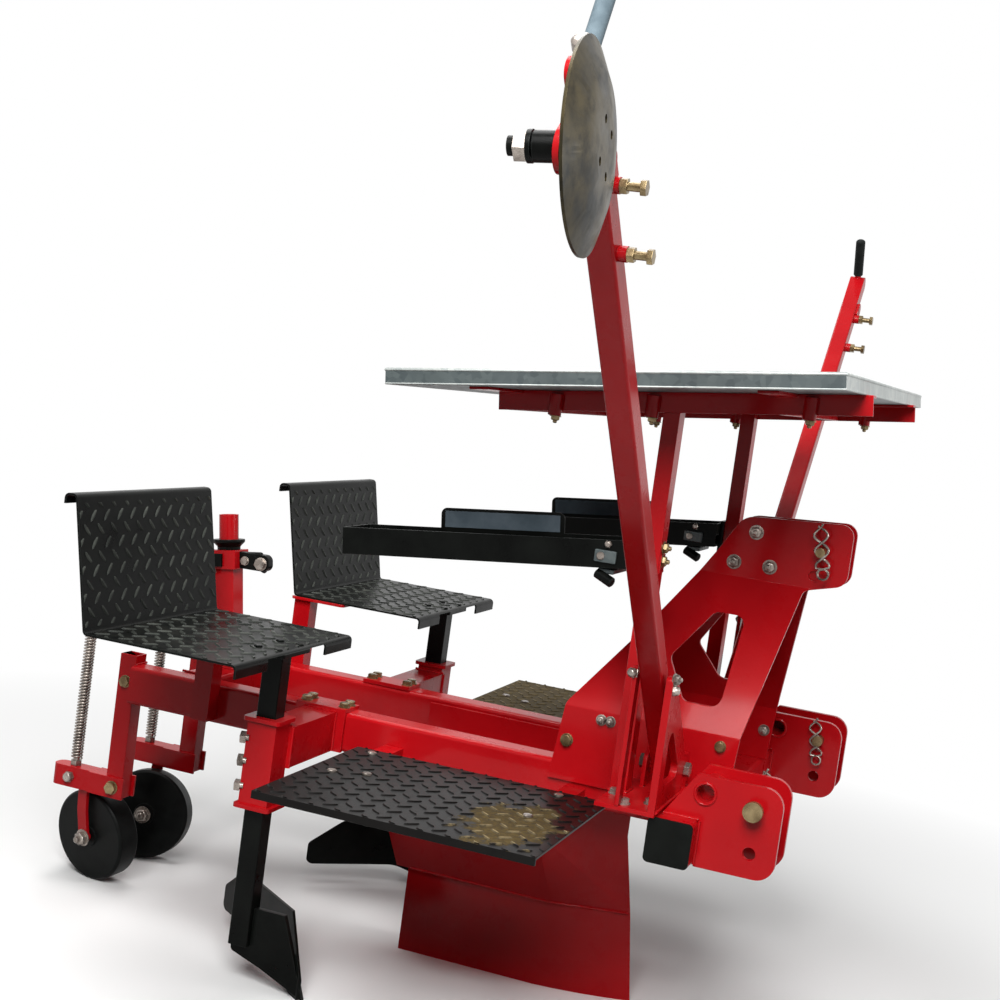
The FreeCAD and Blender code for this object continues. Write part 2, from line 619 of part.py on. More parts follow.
tyre_lean = math.radians(WHEEL_LEAN)
shoulder = WHEEL_SHOULDER
wheel_z = (WHEEL_RADIUS * math.cos(tyre_lean)
           + (WHEEL_WIDTH / 2 - shoulder) * math.sin(tyre_lean))
toe = math.radians(WHEEL_TOE)
wheel_axis = Vector(math.sin(toe) * math.cos(tyre_lean), math.cos(toe) * math.cos(tyre_lean),
                    math.sin(tyre_lean))
wheel_centre = Vector(WHEEL_X, -WHEEL_Y, wheel_z)
wheel_up = (Vector(0, 0, 1) - wheel_axis * wheel_axis.z).normalize()
wheel_place = FreeCAD.Placement(
    wheel_centre, FreeCAD.Rotation(wheel_up.cross(wheel_axis), wheel_up, wheel_axis, "ZYX"))

half = WHEEL_WIDTH / 2
bore = WHEEL_AXLE + WHEEL_RUN
profile = [(bore, -half - 3), (24, -half - 3), (24, -half), (WHEEL_RADIUS - shoulder, -half),
           (WHEEL_RADIUS, -half + shoulder), (WHEEL_RADIUS, half - shoulder),
           (WHEEL_RADIUS - shoulder, half), (24, half), (24, half + 3), (bore, half + 3)]
wheel = Part.Face(outline(profile, "xz", 0.0)).revolve(Vector(0, 0, 0), Vector(0, 0, 1), 360)
wheel.Placement = wheel_place
pieces["press_wheel_right"] = wheel
pieces["press_wheel_left"] = left(wheel)

arm_low = LEG_FOOT
arm_high = arm_low + 45
arm_rear = SPRING_X - 46
body = plate([(arm_rear, -LEG_Y - 20, 16), (leg_x - LEG_SIZE / 2, -LEG_Y - 20),
              (leg_x - LEG_SIZE / 2, -LEG_Y + 20), (arm_rear, -LEG_Y + 20, 16)],
             "xy", arm_low, arm_high)
cheeks = []
for y in (-LEG_Y - LEG_SIZE / 2 - 6, -LEG_Y + LEG_SIZE / 2):
    cheeks.append(block(leg_x - LEG_SIZE / 2 - 40, leg_x + LEG_SIZE / 2 + 6, y, y + 6,
                        arm_low, arm_high))
axial = -half - 7
strap = plate([(-13, -14, 12), (13, -14, 12), (20, 60, 90), (14, 150), (-12, 150),
               (-6, 60, 90)], "xy", axial - 8, axial)
strap.Placement = wheel_place
cap_top = block(arm_rear - 50, 0, -400, 400, arm_high - 2, 600)
strap = strap.cut(cap_top)
axle = rod((0, 0, axial - 12), (0, 0, 1), WHEEL_AXLE, WHEEL_WIDTH + 34)
axle = axle.fuse(rod((0, 0, half + 5), (0, 0, 1), WHEEL_AXLE + 6, 8))
axle.Placement = wheel_place
carrier = fuse(body, strap, axle, *cheeks)
pieces["wheel_carriers"] = pair(carrier)

spring = rod((SPRING_X, -spring_y, arm_high), (0, 0, 1), SPRING_ROD, YOKE_Z + 62 - arm_high)
for z, high in ((arm_high, 11), (YOKE_Z - 11, 11), (YOKE_Z + 30, 11)):
    spring = spring.fuse(hexagon((SPRING_X, -spring_y, z), (0, 0, 1), 22.0, high))
pieces["spring_rods"] = pair(spring.removeSplitter())


# ---- table on two legs
def level_table(shape):
    turned = shape.copy()
    turned.rotate(Vector(TABLE_X, 0, TABLE_Z), Vector(0, 1, 0), -TABLE_TILT)
    return turned


rear = TABLE_X - TABLE_REAR
front = TABLE_X + TABLE_FRONT
sheet = block(rear, front, -TABLE_HALF, TABLE_HALF, TABLE_Z, TABLE_Z + TABLE_RIM)
sheet = sheet.cut(block(rear + TABLE_SHEET, front - TABLE_SHEET, -TABLE_HALF + TABLE_SHEET,
                        TABLE_HALF - TABLE_SHEET, TABLE_Z + TABLE_SHEET, TABLE_Z + 2 * TABLE_RIM))
pieces["table_tray"] = level_table(sheet)

angle_rear = rear + 118
angle_front = front + 12
wall = TABLE_ANGLE_WALL
runner = block(angle_rear, angle_front, -TABLE_LEG_Y - 20, -TABLE_LEG_Y + 20,
               TABLE_Z - wall, TABLE_Z)
runner = runner.fuse(block(angle_rear, angle_front, -TABLE_LEG_Y - 20, -TABLE_LEG_Y - 20 + wall,
                           TABLE_Z - TABLE_ANGLE, TABLE_Z))
ties = []
for x in (rear + 130, front - 150):
    ties.append(block(x, x + TABLE_ANGLE, -TABLE_HALF + 60, TABLE_HALF - 60, TABLE_Z - wall, TABLE_Z))
    ties.append(block(x, x + wall, -TABLE_LEG_Y, TABLE_LEG_Y, TABLE_Z - TABLE_ANGLE, TABLE_Z))
frame = fuse(runner, left(runner), *ties)
pieces["table_frame"] = level_table(frame)

base_top = FRAME_TOP + BRACKET_BASE
leg_front = TABLE_X + TABLE_LEG_DEPTH / 2
leg = hollow("xy", (TABLE_X, -TABLE_LEG_Y), (TABLE_LEG_DEPTH, TABLE_LEG_WIDTH), TABLE_LEG_WALL,
             base_top, TABLE_Z + 60)
under = level_table(block(rear, front, -TABLE_HALF, TABLE_HALF, TABLE_Z - wall, TABLE_Z + 200))
leg = leg.cut(under).cut(level_table(frame))
pieces["table_legs"] = pair(leg)


# ---- seedling trays beside the legs
def seedling_tray(centre):
    tray_front = TABLE_X - TABLE_LEG_DEPTH / 2 - TRAY_BRACKET
    tray_rear = tray_front - TRAY_LENGTH
    low = centre - TRAY_WIDTH / 2
    high = centre + TRAY_WIDTH / 2
    base = TRAY_TOP - TRAY_DEPTH
    sheet = TRAY_SHEET
    trough = block(tray_rear, tray_front, low, high, base, TRAY_TOP)
    trough = trough.cut(block(tray_rear + sheet, tray_front - sheet, low + sheet, high - sheet,
                              base + sheet, TRAY_TOP + 1))
    guard_rear = tray_rear + 150
    guard = plate([(guard_rear, TRAY_TOP - 5), (guard_rear + TRAY_GUARD, TRAY_TOP - 5),
                   (guard_rear + TRAY_GUARD, TRAY_TOP + TRAY_GUARD_HIGH, 12),
                   (guard_rear, TRAY_TOP + TRAY_GUARD_HIGH, 12)], "xz", high - sheet, high)
    tray = fuse(trough, guard)
    tray.rotate(Vector(tray_front, 0, TRAY_TOP), Vector(0, 1, 0), -TRAY_TILT)
    clear = block(tray_front, tray_front + 50, low - 1, high + 1, base - 100, TRAY_TOP + 100)
    return tray.cut(clear)


pieces["seedling_trays"] = Part.makeCompound(
    [seedling_tray(-TABLE_LEG_Y), seedling_tray(TABLE_LEG_Y)])

bracket_rear = TABLE_X - TABLE_LEG_DEPTH / 2 - TRAY_BRACKET
bracket = block(bracket_rear, bracket_rear + TRAY_BRACKET, -TABLE_LEG_Y - 30, -TABLE_LEG_Y + 30,
                TRAY_TOP - TRAY_DEPTH - 20, TRAY_TOP + 5)
pieces["tray_brackets"] = pair(bracket)


# ---- marker brackets, bolted down on the toolbar ends
slot_front = MARKER_X + MARKER_SLOT / 2
slot_rear = MARKER_X - MARKER_SLOT / 2
base = block(BRACKET_REAR, slot_front + GUSSET, -BRACKET_OUTER, -BRACKET_INNER - 5,
             FRAME_TOP, base_top)
hip = MARKER_Z + 30
gusset = plate([(-BRACKET_OUTER, FRAME_TOP), (-BRACKET_OUTER, BRACKET_HIGH, 8),
                (-BRACKET_OUTER + 26, BRACKET_HIGH, 8), (-MARKER_Y - 14, hip, 20),
                (-BRACKET_INNER, hip, 16), (-BRACKET_INNER, FRAME_TOP)], "yz",
               slot_front, slot_front + GUSSET)
gusset_window = [(-BRACKET_OUTER + 34, base_top + 40, 14), (-BRACKET_OUTER + 34, 668, 20),
                 (-MARKER_Y - 48, base_top + 40, 14)]
gusset = gusset.cut(plate(gusset_window, "yz", slot_front - 1, slot_front + GUSSET + 1))
lug = plate([(-MARKER_Y - 35, FRAME_TOP), (-MARKER_Y - 35, MARKER_Z + 27, 24),
             (-MARKER_Y + 30, MARKER_Z + 27, 24), (-MARKER_Y + 30, FRAME_TOP)], "yz",
            slot_rear - LUG, slot_rear)
marker_pin_low = slot_rear - LUG - 12
marker_pin_long = MARKER_SLOT + LUG + GUSSET + 22
mount = fuse(base, gusset, lug)
mount = mount.cut(rod((slot_rear - 50, -MARKER_Y, MARKER_Z), (1, 0, 0), MARKER_PIN + FIT, 200))
pieces["marker_brackets"] = pair(mount)

pin = rod((marker_pin_low, -MARKER_Y, MARKER_Z), (1, 0, 0), MARKER_PIN, marker_pin_long)
for x in (marker_pin_low, marker_pin_low + marker_pin_long - 10):
    pin = pin.fuse(hexagon((x, -MARKER_Y, MARKER_Z), (1, 0, 0), MARKER_PIN * 3, 10))
pieces["marker_pins"] = pair(pin.removeSplitter())


# ---- marker arms: a square tube with a sliding inner bar
def swing(shape):
    """From upright at the origin to the folded place on the right side."""
    turned = shape.copy()
    turned.rotate(Vector(0, 0, 0), Vector(1, 0, 0), MARKER_ANGLE)
    turned.translate(Vector(MARKER_X, -MARKER_Y, MARKER_Z))
    return turned


side_half = MARKER_TUBE / 2
boss_half = MARKER_SLOT / 2 - MARKER_BOSS_FIT
clamp_bore = CLAMP_RADIUS + FIT
tube = plate(rectangle(0, 0, MARKER_TUBE, MARKER_TUBE, 5.0), "xy", 0, MARKER_LENGTH)
tube = tube.fuse(rod((-side_half, 0, 0), (1, 0, 0), side_half, MARKER_TUBE))
tube = tube.fuse(rod((-boss_half, 0, 0), (1, 0, 0), MARKER_BOSS / 2, 2 * boss_half))
inner_half = side_half - MARKER_WALL
tube = tube.cut(block(-inner_half, inner_half, -inner_half, inner_half, 28, MARKER_LENGTH + 1))
tube = tube.cut(rod((-60, 0, 0), (1, 0, 0), MARKER_PIN + MARKER_RUN, 120))
for along in CLAMPS:
    tube = tube.fuse(rod((side_half - 1, 0, along), (1, 0, 0), 11.0, 13))
    tube = tube.cut(rod((inner_half - 2, 0, along), (1, 0, 0), clamp_bore, 40))
marker_arm = swing(tube.removeSplitter())
pieces["marker_arm_right"] = marker_arm
pieces["marker_arm_left"] = left(marker_arm)

clamps = []
for along in CLAMPS:
    bolt = rod((BAR_SIZE / 2 + FIT, 0, along), (1, 0, 0), CLAMP_RADIUS, CLAMP_LENGTH)
    bolt = bolt.fuse(hexagon((BAR_SIZE / 2 + FIT + CLAMP_LENGTH, 0, along), (1, 0, 0), 19.0, 8))
    bolt = bolt.fuse(hexagon((side_half + 12, 0, along), (1, 0, 0), 19.0, 10))
    clamps.append(bolt.removeSplitter())
marker_clamps = swing(Part.makeCompound(clamps))
pieces["marker_clamps_right"] = marker_clamps
pieces["marker_clamps_left"] = left(marker_clamps)


def crook(shape, end):
    """From upright to the lean of the grip, at the end of the inner bar."""
    turned = shape.copy()
    turned.rotate(Vector(0, 0, 0), Vector(1, 0, 0), -GRIP_BEND)
    turned.translate(Vector(0, 0, end - 14))
    return turned


def inner_bar(out):
    """The bar that slides in the tube, with its rounded head and handle, drawn out by a length."""
    head_low = MARKER_LENGTH + 0.5 + out
    end = head_low + BAR_HEAD
    shape = hollow("xy", (0, 0), (BAR_SIZE, BAR_SIZE), BAR_WALL, BAR_START + out, head_low)
    side = BAR_HEAD_SIZE / 2
    head = plate([(-side, head_low), (side, head_low), (side, end, side - 1),
                  (-side, end, side - 1)], "yz", -side, side)
    grip_rod = crook(rod((0, 0, 0), (0, 0, 1), GRIP_ROD, GRIP_START + 2), end)
    return fuse(shape, head, grip_rod), end


def grip_at(end):
    shape = rod((0, 0, GRIP_START + 2), (0, 0, 1), GRIP_RADIUS, GRIP_LENGTH)
    top = [edge for edge in shape.Edges if edge.BoundBox.ZMin > GRIP_START + GRIP_LENGTH]
    return swing(crook(shape.makeChamfer(4.0, top), end))


bar, bar_end = inner_bar(0.0)
pieces["marker_bar_left"] = left(swing(bar))
pieces["marker_grip_left"] = left(grip_at(bar_end))

# the right bar carries the disc: a plate on its side and a bush set at the disc's angle
face = BAR_HEAD_SIZE / 2
plate_front = face - DISC_PLATE_IN
bush_front = face + DISC_BUSH_OUT
bush_rear = bush_front - DISC_BUSH_LENGTH
disc_along = MARKER_LENGTH + BAR_OUT + DISC_ALONG


def turn_disc(shape):
    """From square on the arm to the disc's cutting angle, in its place beside the head."""
    turned = shape.copy()
    turned.rotate(Vector(0, 0, 0), Vector(0, 0, 1), DISC_TURN)
    turned.translate(Vector(0, -DISC_OFFSET, disc_along))
    return turned


bar, bar_end = inner_bar(BAR_OUT)
bracket = plate([(1 - face, disc_along - 34), (1 - face, disc_along + 20),
                 (-DISC_OFFSET - 30, disc_along + 30, 28),
                 (-DISC_OFFSET - 30, disc_along - 30, 28)], "yz", plate_front - DISC_PLATE, plate_front)
bush = turn_disc(rod((bush_rear, 0, 0), (1, 0, 0), DISC_BUSH, DISC_BUSH_LENGTH))
bar = bar.fuse([bracket, bush])
bar = bar.cut(turn_disc(rod((-150, 0, 0), (1, 0, 0), DISC_AXLE + MARKER_RUN, 300)))
pieces["marker_bar_right"] = swing(bar.removeSplitter())
pieces["marker_grip_right"] = grip_at(bar_end)

# dished disc on its axle, hollow side to the rear, flat in the middle
rim = face + DISC_RIM_GAP
crown = rim + DISC_DISH
skin = []
for step in range(3):
    reach = DISC_RADIUS + (DISC_FLAT - DISC_RADIUS) * step / 2
    rise = 1 - ((reach - DISC_FLAT) / (DISC_RADIUS - DISC_FLAT)) ** 2
    skin.append((reach, rim + DISC_DISH * rise))
bowl = skin + [(0, crown), (0, crown - DISC_THICK)]
bowl += [(reach - 0.5, along - DISC_THICK) for reach, along in reversed(skin)]
cup = Part.Face(outline(bowl, "xz", 0.0)).revolve(Vector(0, 0, 0), Vector(0, 0, 1), 360)
cup.rotate(Vector(0, 0, 0), Vector(0, 1, 0), 90)
hub_rear = bush_front + PIECE_GAP
hub = rod((hub_rear, 0, 0), (1, 0, 0), 22.0, crown - DISC_THICK + 1 - hub_rear)
flange = rod((crown - DISC_THICK - 10, 0, 0), (1, 0, 0), 42.0, 10.5)
washer_rear = bush_rear - PIECE_GAP - DISC_WASHER
axle_rear = washer_rear - DISC_NUT - 9
washer = rod((washer_rear, 0, 0), (1, 0, 0), DISC_BUSH + 1, DISC_WASHER)
nut = hexagon((washer_rear - DISC_NUT, 0, 0), (1, 0, 0), 34.0, DISC_NUT)
axle = rod((axle_rear, 0, 0), (1, 0, 0), DISC_AXLE, hub_rear + 4 - axle_rear)
pieces["marker_disc"] = swing(turn_disc(fuse(cup, hub, flange, axle, nut, washer)))


# ---- the origin goes to the middle of the footprint, on the ground
bounds = FreeCAD.BoundBox()
for shape in pieces.values():
    bounds.add(shape.optimalBoundingBox(False, False))
shift = Vector(-bounds.Center.x, -bounds.Center.y, 0)
os.makedirs("parts", exist_ok=True)
for name, shape in pieces.items():
    placed = shape.copy()
    placed.translate(shift)
    placed.exportStep("parts/" + name + ".step")
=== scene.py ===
import json
import math

import bpy
from mathutils import Matrix, Vector


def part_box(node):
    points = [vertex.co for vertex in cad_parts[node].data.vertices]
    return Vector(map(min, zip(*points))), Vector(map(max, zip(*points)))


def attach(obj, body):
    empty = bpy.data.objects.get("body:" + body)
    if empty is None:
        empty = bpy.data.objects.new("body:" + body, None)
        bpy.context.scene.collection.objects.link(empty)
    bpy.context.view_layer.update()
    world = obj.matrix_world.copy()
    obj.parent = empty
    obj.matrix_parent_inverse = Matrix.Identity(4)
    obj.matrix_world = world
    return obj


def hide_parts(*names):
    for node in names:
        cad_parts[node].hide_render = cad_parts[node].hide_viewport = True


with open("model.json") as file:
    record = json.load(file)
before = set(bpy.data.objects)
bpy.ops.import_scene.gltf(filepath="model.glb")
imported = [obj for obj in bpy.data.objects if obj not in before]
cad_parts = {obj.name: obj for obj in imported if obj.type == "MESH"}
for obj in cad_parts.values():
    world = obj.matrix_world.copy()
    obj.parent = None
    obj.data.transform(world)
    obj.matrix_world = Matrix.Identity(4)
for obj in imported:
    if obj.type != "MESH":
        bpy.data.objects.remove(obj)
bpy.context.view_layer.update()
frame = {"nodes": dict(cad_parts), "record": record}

scene = bpy.context.scene

# Places are in millimetres from the middle of the toolbar, at the ground: x forward, y left, z up.
bar_low, bar_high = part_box("toolbar")
ORIGIN = Vector(((bar_low.x + bar_high.x) / 2, (bar_low.y + bar_high.y) / 2, 0))
BODY_OF = {n: body for body, nodes in frame["record"]["behaviour"]["bodies"].items()
           for n in nodes}
SLOT_OF = {part["node"]: part["material_slot"] for part in frame["record"]["subparts"]}
JOINTS = {joint["name"]: joint for joint in frame["record"]["behaviour"]["joints"]}
SIDES = ((-1, "right"), (1, "left"))

# Tops of the square tubes, of the 8 mm feet bolted onto them, of the footplates and of the seats.
TUBE_TOP, FOOT_TOP, FOOTPLATE_TOP, SEAT_TOP = 500.0, 508.0, 460.0, 655.0
# Outer face of a headstock foot, and the middles of a marker bracket's outer web, a table leg
# and a table runner.
HEADSTOCK_FOOT_Y, BRACKET_Y, TABLE_LEG_Y, RUNNER_Y = 198.0, 448.0, 344.0, 370.0
# Middles of the shanks, the rear cross tube and the press wheel rods, along the machine.
SHANK_X, CROSS_X, ROD_X = -791.0, -1110.0, -1370.0


def at(x, y, z):
    return Vector((x, y, z)) / 1000 + ORIGIN


def joint_place(name):
    """Where a joint sits, in millimetres from the middle of the toolbar."""
    return (Vector(JOINTS[name]["pos_m"]) - ORIGIN) * 1000


# ---- finishes
def srgb(code):
    """A hex colour as the linear values that Blender's sockets take."""
    parts = [int(code[i:i + 2], 16) / 255 for i in (1, 3, 5)]
    linear = [c / 12.92 if c <= 0.04045 else ((c + 0.055) / 1.055) ** 2.4 for c in parts]
    return (*linear, 1.0)


def per_mm(size):
    """The texture scale whose features come about one to each size in millimetres."""
    return 1000 / size


def add_node(material, kind, settings=None, links=None):
    """Adds a shader node, sets its properties, and fills its inputs with values or outputs."""
    tree = material.node_tree
    made = tree.nodes.new("ShaderNode" + kind)
    for name, value in (settings or {}).items():
        setattr(made, name, value)
    for socket, value in (links or {}).items():
        if isinstance(value, bpy.types.Node):
            tree.links.new(value.outputs[0], made.inputs[socket])
        elif isinstance(value, bpy.types.NodeSocket):
            tree.links.new(value, made.inputs[socket])
        else:
            made.inputs[socket].default_value = value
    return made


def new_material(name):
    material = bpy.data.materials.new(name)
    material.use_nodes = True
    material.node_tree.nodes.clear()
    return material, add_node(material, "TexCoord").outputs["Object"]


def close_material(material, shader):
    add_node(material, "OutputMaterial", {}, {"Surface": shader})
    return material


def paled_edges(material, radius, most):
    """How far an edge is painted paler: there the rounded normal leaves the flat one."""
    face = add_node(material, "NewGeometry")
    rounded = add_node(material, "Bevel", {"samples": 4}, {"Radius": radius})
    same = add_node(material, "VectorMath", {"operation": "DOT_PRODUCT"}, {
        0: rounded, 1: face.outputs["True Normal"]})
    return add_node(material, "MapRange", {}, {
        0: same.outputs["Value"], 1: 0.985, 2: 0.86, 3: 0.0, 4: most})


def looking_up(material, low, high):
    """0 on walls and 1 on level tops, where dust and soil settle."""
    face = add_node(material, "NewGeometry")
    height = add_node(material, "SeparateXYZ", {}, {0: face.outputs["Normal"]})
    return add_node(material, "MapRange", {}, {0: height.outputs[2], 1: low, 2: high})


def enamel(name, light, deep, gloss):
    """Glossy alkyd enamel sprayed over welded steel.

    The eye gets a deep even red, a soft orange peel in the highlights, paler edges that are partly
    worn paint and partly a painted highlight, and a thin film of dust on what looks up.
    """
    material, place = new_material(name)
    broad = add_node(material, "TexNoise", {}, {
        "Vector": place, "Scale": per_mm(210.0), "Detail": 3.0})
    drift = add_node(material, "MapRange", {}, {0: broad, 1: 0.35, 2: 0.65})
    paint = add_node(material, "Mix", {"data_type": "RGBA"}, {
        0: drift, 6: srgb(light), 7: srgb(deep)})
    edge_mottle = add_node(material, "TexNoise", {}, {
        "Vector": place, "Scale": per_mm(18.0), "Detail": 5.0, "Roughness": 0.65})
    broken = add_node(material, "MapRange", {}, {
        0: edge_mottle, 1: 0.48, 2: 0.68, 3: 0.0, 4: 0.45})
    wear_and_edge_highlight = add_node(material, "Math", {"operation": "MULTIPLY"}, {
        0: paled_edges(material, 0.0022, 1.0), 1: broken})
    # edges painted a paler red: partly worn paint, partly a painted highlight along them
    paint = add_node(material, "Mix", {"data_type": "RGBA"}, {
        0: wear_and_edge_highlight, 6: paint.outputs[2], 7: srgb("#c93a3c")})
    specks = add_node(material, "TexNoise", {}, {
        "Vector": place, "Scale": per_mm(70.0), "Detail": 6.0, "Roughness": 0.7})
    film = add_node(material, "MapRange", {}, {
        0: specks, 1: 0.5, 2: 0.8, 3: 0.0, 4: 0.12})
    dust = add_node(material, "Math", {"operation": "MULTIPLY"}, {
        0: looking_up(material, 0.5, 1.0), 1: film})
    colour = add_node(material, "Mix", {"data_type": "RGBA"}, {
        0: dust, 6: paint.outputs[2], 7: srgb("#b58a7c")})
    rough = add_node(material, "MapRange", {}, {
        0: specks, 1: 0.3, 2: 0.7, 3: gloss, 4: gloss + 0.1})
    # orange peel is drawn 5 mm across, coarser than the real 1 to 2 mm, so that it shows
    peel = add_node(material, "TexNoise", {}, {
        "Vector": place, "Scale": per_mm(5.0), "Detail": 1.0})
    bump = add_node(material, "Bump", {}, {
        "Strength": 0.3, "Distance": 0.0005, "Height": peel})
    shader = add_node(material, "BsdfPrincipled", {}, {
        "Base Color": colour.outputs[2], "Roughness": rough, "Normal": bump, "IOR": 1.5,
        "Specular IOR Level": 0.06, "Coat Weight": 0.2, "Coat Roughness": 0.12})
    return close_material(material, shader)


def powder_coat(name, dark, pale, rough, dirt):
    """Semi-matt black powder coat on sheet steel.

    The eye gets near black with a fine pebble, rubbed grey edges and grey dust on level tops.
    """
    material, place = new_material(name)
    cloud = add_node(material, "TexNoise", {}, {
        "Vector": place, "Scale": per_mm(70.0), "Detail": 5.0, "Roughness": 0.6})
    drift = add_node(material, "MapRange", {}, {0: cloud, 1: 0.35, 2: 0.7})
    paint = add_node(material, "Mix", {"data_type": "RGBA"}, {
        0: drift, 6: srgb(dark), 7: srgb(pale)})
    paint = add_node(material, "Mix", {"data_type": "RGBA"}, {
        0: paled_edges(material, 0.0018, 0.5), 6: paint.outputs[2], 7: srgb("#3c403e")})
    specks = add_node(material, "TexNoise", {}, {
        "Vector": place, "Scale": per_mm(35.0), "Detail": 6.0, "Roughness": 0.7})
    film = add_node(material, "MapRange", {}, {
        0: specks, 1: 0.45, 2: 0.8, 3: 0.0, 4: dirt})
    dust = add_node(material, "Math", {"operation": "MULTIPLY"}, {
        0: looking_up(material, 0.4, 1.0), 1: film})
    colour = add_node(material, "Mix", {"data_type": "RGBA"}, {
        0: dust, 6: paint.outputs[2], 7: srgb("#7d776b")})
    # the pebble is drawn 2 mm across, coarser than the real half millimetre, so that it shows
    pebble = add_node(material, "TexNoise", {}, {
        "Vector": place, "Scale": per_mm(2.0), "Detail": 2.0})
    bump = add_node(material, "Bump", {}, {
        "Strength": 0.2, "Distance": 0.0004, "Height": pebble})
    shine = add_node(material, "MapRange", {}, {
        0: cloud, 1: 0.3, 2: 0.7, 3: rough - 0.05, 4: rough + 0.09})
    shader = add_node(material, "BsdfPrincipled", {}, {
        "Base Color": colour.outputs[2], "Roughness": shine, "Normal": bump, "IOR": 1.5,
        "Specular IOR Level": 0.07})
    return close_material(material, shader)


def trodden_plate(name, damp, dry):
    """Black enamelled checker plate that boots have stood on.

    The eye gets tan dried soil between the lozenges: a patch where the feet rest on the right
    plate and an even coat over the left one, which has seen more work.
    """
    material, place = new_material(name)
    cloud = add_node(material, "TexNoise", {}, {
        "Vector": place, "Scale": per_mm(60.0), "Detail": 5.0, "Roughness": 0.6})
    paint = add_node(material, "Mix", {"data_type": "RGBA"}, {
        0: cloud, 6: srgb("#0b0a09"), 7: srgb("#1b1918")})
    # the patch is about 130 mm long and 270 mm wide, under one boot
    squeeze = Vector((1.7, 0.85, 1.0))
    squeezed = add_node(material, "VectorMath", {"operation": "MULTIPLY"}, {
        0: place, 1: squeeze})
    reach = add_node(material, "VectorMath", {"operation": "DISTANCE"}, {
        0: squeezed, 1: at(-247.0, -542.0, FOOTPLATE_TOP) * squeeze})
    ragged = add_node(material, "TexNoise", {}, {
        "Vector": place, "Scale": per_mm(55.0), "Detail": 7.0, "Roughness": 0.7})
    rim = add_node(material, "Math", {"operation": "MULTIPLY_ADD"}, {
        0: ragged, 1: 0.4, 2: reach.outputs["Value"]})
    patch = add_node(material, "MapRange", {}, {
        0: rim, 1: 0.3, 2: 0.33, 3: 0.95, 4: 0.0})
    side = add_node(material, "SeparateXYZ", {}, {0: place})
    far_side = add_node(material, "MapRange", {}, {
        0: side.outputs[1], 1: ORIGIN.y - 0.01, 2: ORIGIN.y + 0.01, 3: 0.0, 4: 0.75})
    soil = add_node(material, "Math", {"operation": "MAXIMUM"}, {0: patch, 1: far_side})
    grain = add_node(material, "TexNoise", {}, {
        "Vector": place, "Scale": per_mm(9.0), "Detail": 5.0, "Roughness": 0.7})
    thick = add_node(material, "MapRange", {}, {
        0: grain, 1: 0.3, 2: 0.55, 3: 0.35, 4: 1.0})
    cover = add_node(material, "Math", {"operation": "MULTIPLY"}, {0: soil, 1: thick})
    cover = add_node(material, "Math", {"operation": "MULTIPLY"}, {
        0: cover, 1: looking_up(material, 0.6, 0.9)})
    earth = add_node(material, "Mix", {"data_type": "RGBA"}, {
        0: grain, 6: srgb(damp), 7: srgb(dry)})
    colour = add_node(material, "Mix", {"data_type": "RGBA"}, {
        0: cover, 6: paint.outputs[2], 7: earth.outputs[2]})
    rough = add_node(material, "MapRange", {}, {0: cover, 3: 0.33, 4: 0.9})
    bump = add_node(material, "Bump", {}, {
        "Strength": 0.35, "Distance": 0.0008, "Height": grain})
    shader = add_node(material, "BsdfPrincipled", {}, {
        "Base Color": colour.outputs[2], "Roughness": rough, "Normal": bump, "IOR": 1.5,
        "Specular IOR Level": 0.09})
    return close_material(material, shader)


def plated(name, light, deep, rough):
    """Zinc plated steel that has dulled.

    The eye gets a metal with a soft drift in colour and shine over each fastener, and enough
    bloom on it for its flats to part from each other.
    """
    material, place = new_material(name)
    cloud = add_node(material, "TexNoise", {}, {
        "Vector": place, "Scale": per_mm(25.0), "Detail": 3.0})
    drift = add_node(material, "MapRange", {}, {0: cloud, 1: 0.35, 2: 0.65})
    colour = add_node(material, "Mix", {"data_type": "RGBA"}, {
        0: drift, 6: srgb(light), 7: srgb(deep)})
    wipe = add_node(material, "TexNoise", {}, {
        "Vector": place, "Scale": per_mm(12.5), "Detail": 3.0})
    shine = add_node(material, "MapRange", {}, {
        0: wipe, 1: 0.3, 2: 0.7, 3: rough - 0.06, 4: rough + 0.1})
    # the crystals of the plating are drawn 1.5 mm across, coarser than they are, so that they show
    grit = add_node(material, "TexNoise", {}, {
        "Vector": place, "Scale": per_mm(1.5), "Detail": 2.0})
    bump = add_node(material, "Bump", {}, {
        "Strength": 0.1, "Distance": 0.0003, "Height": grit})
    shader = add_node(material, "BsdfPrincipled", {}, {
        "Base Color": colour.outputs[2], "Roughness": shine, "Normal": bump, "Metallic": 0.6})
    return close_material(material, shader)


def galvanised(name, light, deep, stain):
    """Hot-dip galvanised sheet.

    The eye gets zinc that has gone dull: the grey bloom on it hides most of the metal, over a
    faint spangle about 12 mm across and long stains.
    """
    material, place = new_material(name)
    spangle = add_node(material, "TexVoronoi", {}, {
        "Vector": place, "Scale": per_mm(12.0), "Randomness": 1.0})
    shade = add_node(material, "SeparateColor", {}, {0: spangle.outputs["Color"]})
    colour = add_node(material, "Mix", {"data_type": "RGBA"}, {
        0: shade, 6: srgb(light), 7: srgb(deep)})
    cloud = add_node(material, "TexNoise", {}, {
        "Vector": place, "Scale": per_mm(150.0), "Detail": 6.0, "Roughness": 0.6})
    drift = add_node(material, "MapRange", {}, {
        0: cloud, 1: 0.42, 2: 0.75, 3: 0.0, 4: 0.55})
    colour = add_node(material, "Mix", {"data_type": "RGBA"}, {
        0: drift, 6: colour.outputs[2], 7: srgb(stain)})
    shine = add_node(material, "MapRange", {}, {0: shade, 3: 0.38, 4: 0.5})
    shader = add_node(material, "BsdfPrincipled", {}, {
        "Base Color": colour.outputs[2], "Roughness": shine, "Metallic": 0.25})
    return close_material(material, shader)


